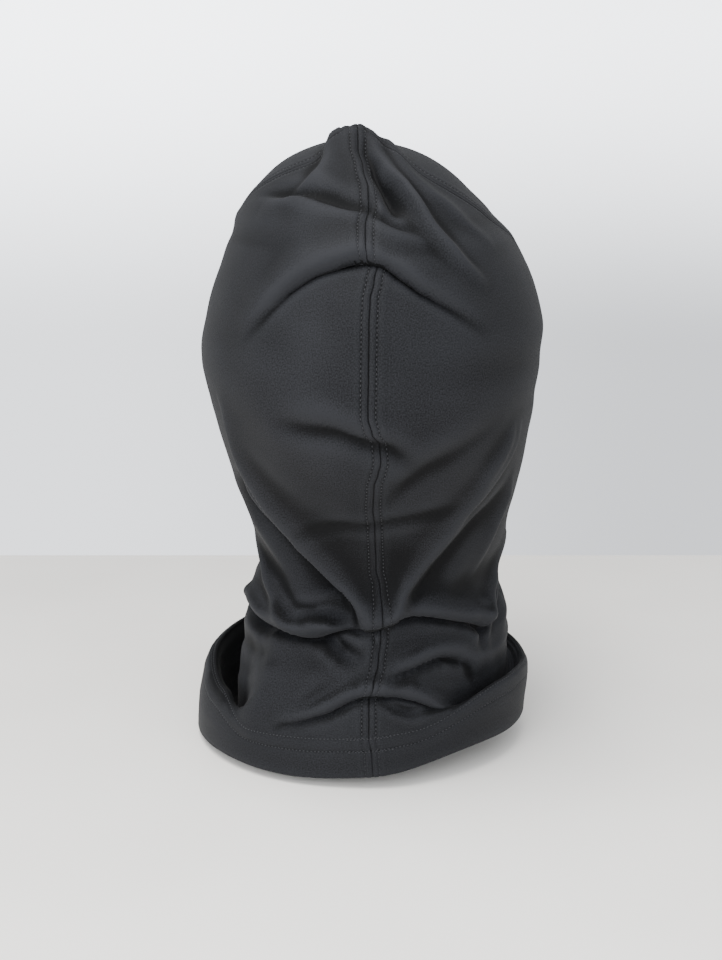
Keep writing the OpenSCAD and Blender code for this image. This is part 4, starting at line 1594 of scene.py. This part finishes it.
@dataclass
class Hood:
    """The whole balaclava: its panels and all of its sewing.

    Attributes:
        form, section: the hood's surface, and the section of its seams and hems.
        knit, thread: the finishes.
        side_cut, crown_cut: width and length of a panel's flat blank, and the flat area of the cut cloth.
    """

    form: HoodForm = field(default_factory=HoodForm)
    section: SeamSection = field(default_factory=SeamSection)
    knit: KnitFinish = field(default_factory=KnitFinish)
    thread: ThreadFinish = field(default_factory=ThreadFinish)
    side_cut: tuple = ((0.29, 0.33), 0.071)
    crown_cut: tuple = ((0.23, 0.17), 0.026)

    @staticmethod
    def dress(made: bpy.types.Object, finish: Finish, slot: str, node: str) -> None:
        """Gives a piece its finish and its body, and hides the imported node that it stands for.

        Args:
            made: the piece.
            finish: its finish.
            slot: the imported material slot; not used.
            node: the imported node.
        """
        made.data.materials.clear()
        made.data.materials.append(finish.material())
        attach(made, ROOT)
        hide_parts(node)
        log.info("%s: %d faces for %s", made.name, len(made.data.polygons), node)

    def dress_thread(self, made: bpy.types.Object, node: str) -> None:
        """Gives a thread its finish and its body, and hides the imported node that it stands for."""
        self.dress(made, self.thread, "sewing_thread", node)

    def panels(self) -> None:
        """Builds the three panels."""
        parts = self.form, self.section
        for panel, node, (flat, area) in (
            (SidePanel(*parts, "left_side_panel", side=Side.LEFT), "side_panel_left", self.side_cut),
            (SidePanel(*parts, "right_side_panel", side=Side.RIGHT), "side_panel_right", self.side_cut),
            (CrownPanel(*parts, "top_panel"), "crown_panel", self.crown_cut),
        ):
            made = panel.build()
            self.dress(made, self.knit, "hood_fabric", node)

    def centre_line(self, turn: float, top: float, count: int) -> np.ndarray:
        """A line down the centre back or front."""
        level = np.linspace(top, self.form.hood_drop - 1.0, count)
        return self.form.skin(np.full(count, turn), level)

    def seam_lines(self) -> dict:
        """The three seams as lines on the hood.

        Returns:
            Points of each seam by name.
        """
        form = self.form
        top = float(form.place_of(form.crown_seam(np.array([0.0]), Side.LEFT))[1][0])
        half = 0.985 * np.linspace(0.0, 1.0, 150)
        right, left = form.crown_seam(half[::-1], Side.RIGHT), form.crown_seam(half[1:], Side.LEFT)
        return {
            "back_seam": self.centre_line(0.001, top + 1.2, 300),
            "crown_seam": np.concatenate([right, left]),
            "front_seam": self.centre_line(179.999, form.eye_bottom + 1.0, 170),
        }

    def eye_line(self) -> np.ndarray:
        """The eye opening's edge as one closed line."""
        form = self.form
        angle = np.linspace(0.0, 1.0, 50)
        upper = form.upper_eye_edge(np.sin(np.radians(90.0 * np.linspace(-1.0, 1.0, 100))))
        left = form.lower_eye_edge(angle, Side.LEFT)
        right = form.lower_eye_edge(angle[::-1], Side.RIGHT)
        return np.concatenate([upper, left[1:], right[1:-1]])

    def hem_line(self, up: float) -> np.ndarray:
        """The line of the neck's hem at a height above the lower edge, as one closed line."""
        turn = -np.linspace(0.0, 360.0, 360, endpoint=False)
        turn = np.where(turn < -180.0, turn + 360.0, turn)
        return self.form.skin(turn, np.full(360, self.form.hood_drop - up))

    def stitch(self, seam: str, word: str, line: StitchLine, pitch: float, relief: np.ndarray,
               overlap: StitchLine | None = None) -> None:
        """Builds one row of needle thread.

        Args:
            seam: the seam or hem that it belongs to.
            word: which of its two rows it is.
            line: where it runs.
            pitch: the length of a stitch.
            relief: the lift of the cloth under it.
            overlap: where the row is sewn over once more.
        """
        row = NeedleThread(line, pitch, float(relief) + self.section.stand, overlap=overlap)
        self.dress_thread(row.build(f"{seam}_stitches_{word}"), f"{seam}_needle_thread_{word}")

    def loop_under(self, seam: str, line: StitchLine, pitch: float) -> None:
        """Builds the looper thread that ties two rows of stitches together on the inside.

        Args:
            seam: the seam or hem that it belongs to.
            line: the middle between the two rows.
            pitch: the length of a stitch.
        """
        thread = InsideThread(line, pitch, self.section.needle_off, self.section.looper)
        self.dress_thread(thread.build(f"{seam}_looper"), f"{seam}_looper_thread")

    def sew(self) -> None:
        """Builds every thread: first the three seams, then the eye's hem and the neck's."""
        form, section = self.form, self.section
        sides = {
            "back_seam": ("left", "right"),
            "crown_seam": ("front", "back"),
            "front_seam": ("right", "left"),
        }
        for seam, line in self.seam_lines().items():
            relief = section.seam(np.array(section.needle_off))
            for off, word in zip((section.needle_off, -section.needle_off), sides[seam]):
                self.stitch(seam, word, StitchLine.beside(form, line, off), 2.0, relief)
            middle = StitchLine.beside(form, line, 0.0)
            self.loop_under(seam, middle, 2.0)
            joining = InsideThread(middle, 2.6, 0.35, -1.0, 0.3, (-1.0, -0.5, 0.5, 1.0, 0.5, -0.5), 0.3)
            self.dress_thread(joining.build(f"{seam}_joining"), f"{seam}_joining_thread")
        eye = self.eye_line()
        for off, word in zip(section.eye_rows, ("inner", "outer")):
            relief = section.hem(np.array(off), section.eye_rows)
            self.stitch("eye_hem", word, StitchLine.beside(form, eye, -off, True), 1.9, relief)
        self.loop_under("eye_hem", StitchLine.beside(form, eye, -sum(section.eye_rows) / 2, True), 1.9)
        for off, word in zip(section.hem_rows, ("lower", "upper")):
            relief = section.hem(np.array(off), section.hem_rows)
            # the row's end is sewn over its beginning at the centre back
            again = StitchLine(form, np.linspace(-8.0, 7.0, 30), np.full(30, form.hood_drop - off + 0.5))
            row = StitchLine.beside(form, self.hem_line(off), 0.0, True)
            self.stitch("neck_hem", word, row, 1.8, relief, again)
        gap = sum(section.hem_rows) / 2
        self.loop_under("neck_hem", StitchLine.beside(form, self.hem_line(gap), 0.0, True), 1.8)


@dataclass
class Studio:
    """The table top, the light and the camera."""

    table_z: float = -0.1795
    table_back: float = -0.278

    def build(self) -> None:
        """Builds all of it."""
        self.table()
        self.lights()
        self.world()
        self.camera()

    def table(self) -> None:
        """A pale table top whose far edge is the horizon."""
        bm = bmesh.new()
        bmesh.ops.create_grid(bm, x_segments=2, y_segments=2, size=1.0)
        bmesh.ops.scale(bm, vec=(3.0, 2.0, 1.0), verts=bm.verts[:])
        bmesh.ops.translate(bm, vec=(0.0, self.table_back + 2.0, self.table_z), verts=bm.verts[:])
        table = in_scene("table_top", mesh_from("table_top", bm))
        table.data.materials.append(TableFinish().material())

    @staticmethod
    def lamp(name: str, place: tuple, size: float, power: float, colour: tuple) -> None:
        """Adds a soft square light that points at the middle of the head.

        Args:
            name: its name.
            place: where it stands.
            size: its width.
            power: its strength in watts.
            colour: its tint.
        """
        light = bpy.data.lights.new(name, "AREA")
        light.size, light.energy, light.color = size, power, colour
        made = in_scene(name, light)
        made.location = place
        made.rotation_euler = (-Vector(place)).to_track_quat("-Z", "Y").to_euler()

    def lights(self) -> None:
        """A wide light overhead and a weaker one from the camera's side."""
        self.lamp("overhead", (0.30, 0.30, 1.4), 1.0, 36.0, (1.0, 0.985, 0.96))
        self.lamp("window", (0.75, 1.5, 0.55), 1.3, 24.0, (0.95, 0.975, 1.0))

    @staticmethod
    def world() -> None:
        """A pale wall that the camera sees, and a softer pale room that lights the hood."""
        world = bpy.data.worlds.new("pale_room")
        world.use_nodes = True
        tree = world.node_tree
        shine = tree.nodes["Background"]
        shine.inputs["Color"].default_value = (0.80, 0.82, 0.85, 1.0)
        wall = tree.nodes.new("ShaderNodeBackground")
        wall.inputs["Color"].default_value = (0.90, 0.925, 0.97, 1.0)
        look = tree.nodes.new("ShaderNodeSeparateXYZ")
        tree.links.new(tree.nodes.new("ShaderNodeTexCoord").outputs["Generated"], look.inputs[0])
        aside, ahead, rise = (
            map_range(tree, look.outputs[axis], span, out, "SMOOTHSTEP")
            for axis, (span, out) in enumerate((
                ((-0.21, 0.21), (-0.45, 0.4)), ((-0.9, 0.9), (0.85, 2.5)), ((-0.17, 0.05), (1.72, 4.9)),
            ))
        )
        tree.links.new(maths(tree, "ADD", aside, rise), wall.inputs["Strength"])
        tree.links.new(ahead, shine.inputs["Strength"])
        seen = tree.nodes.new("ShaderNodeLightPath")
        pick = tree.nodes.new("ShaderNodeMixShader")
        tree.links.new(seen.outputs["Is Camera Ray"], pick.inputs["Fac"])
        tree.links.new(shine.outputs[0], pick.inputs[1])
        tree.links.new(wall.outputs[0], pick.inputs[2])
        tree.links.new(pick.outputs[0], tree.nodes["World Output"].inputs["Surface"])
        bpy.context.scene.world = world

    @staticmethod
    def camera() -> None:
        """A camera behind the hood, a little above it."""
        lens = bpy.data.cameras.new("studio_camera")
        lens.lens, lens.sensor_width = 55.0, 36.0
        made = in_scene("studio_camera", lens)
        made.location = (0.0038, 0.690, 0.132)
        made.rotation_euler = (math.radians(90.0 - 14.9), 0.0, math.radians(180.0))
        bpy.context.scene.camera = made


def main() -> None:
    """Builds the studio and the hood."""
    logging.basicConfig(level=logging.INFO, format="%(name)s: %(message)s")
    Studio().build()
    hood = Hood()
    hood.panels()
    hood.sew()


if __name__ == "__main__":
    main()
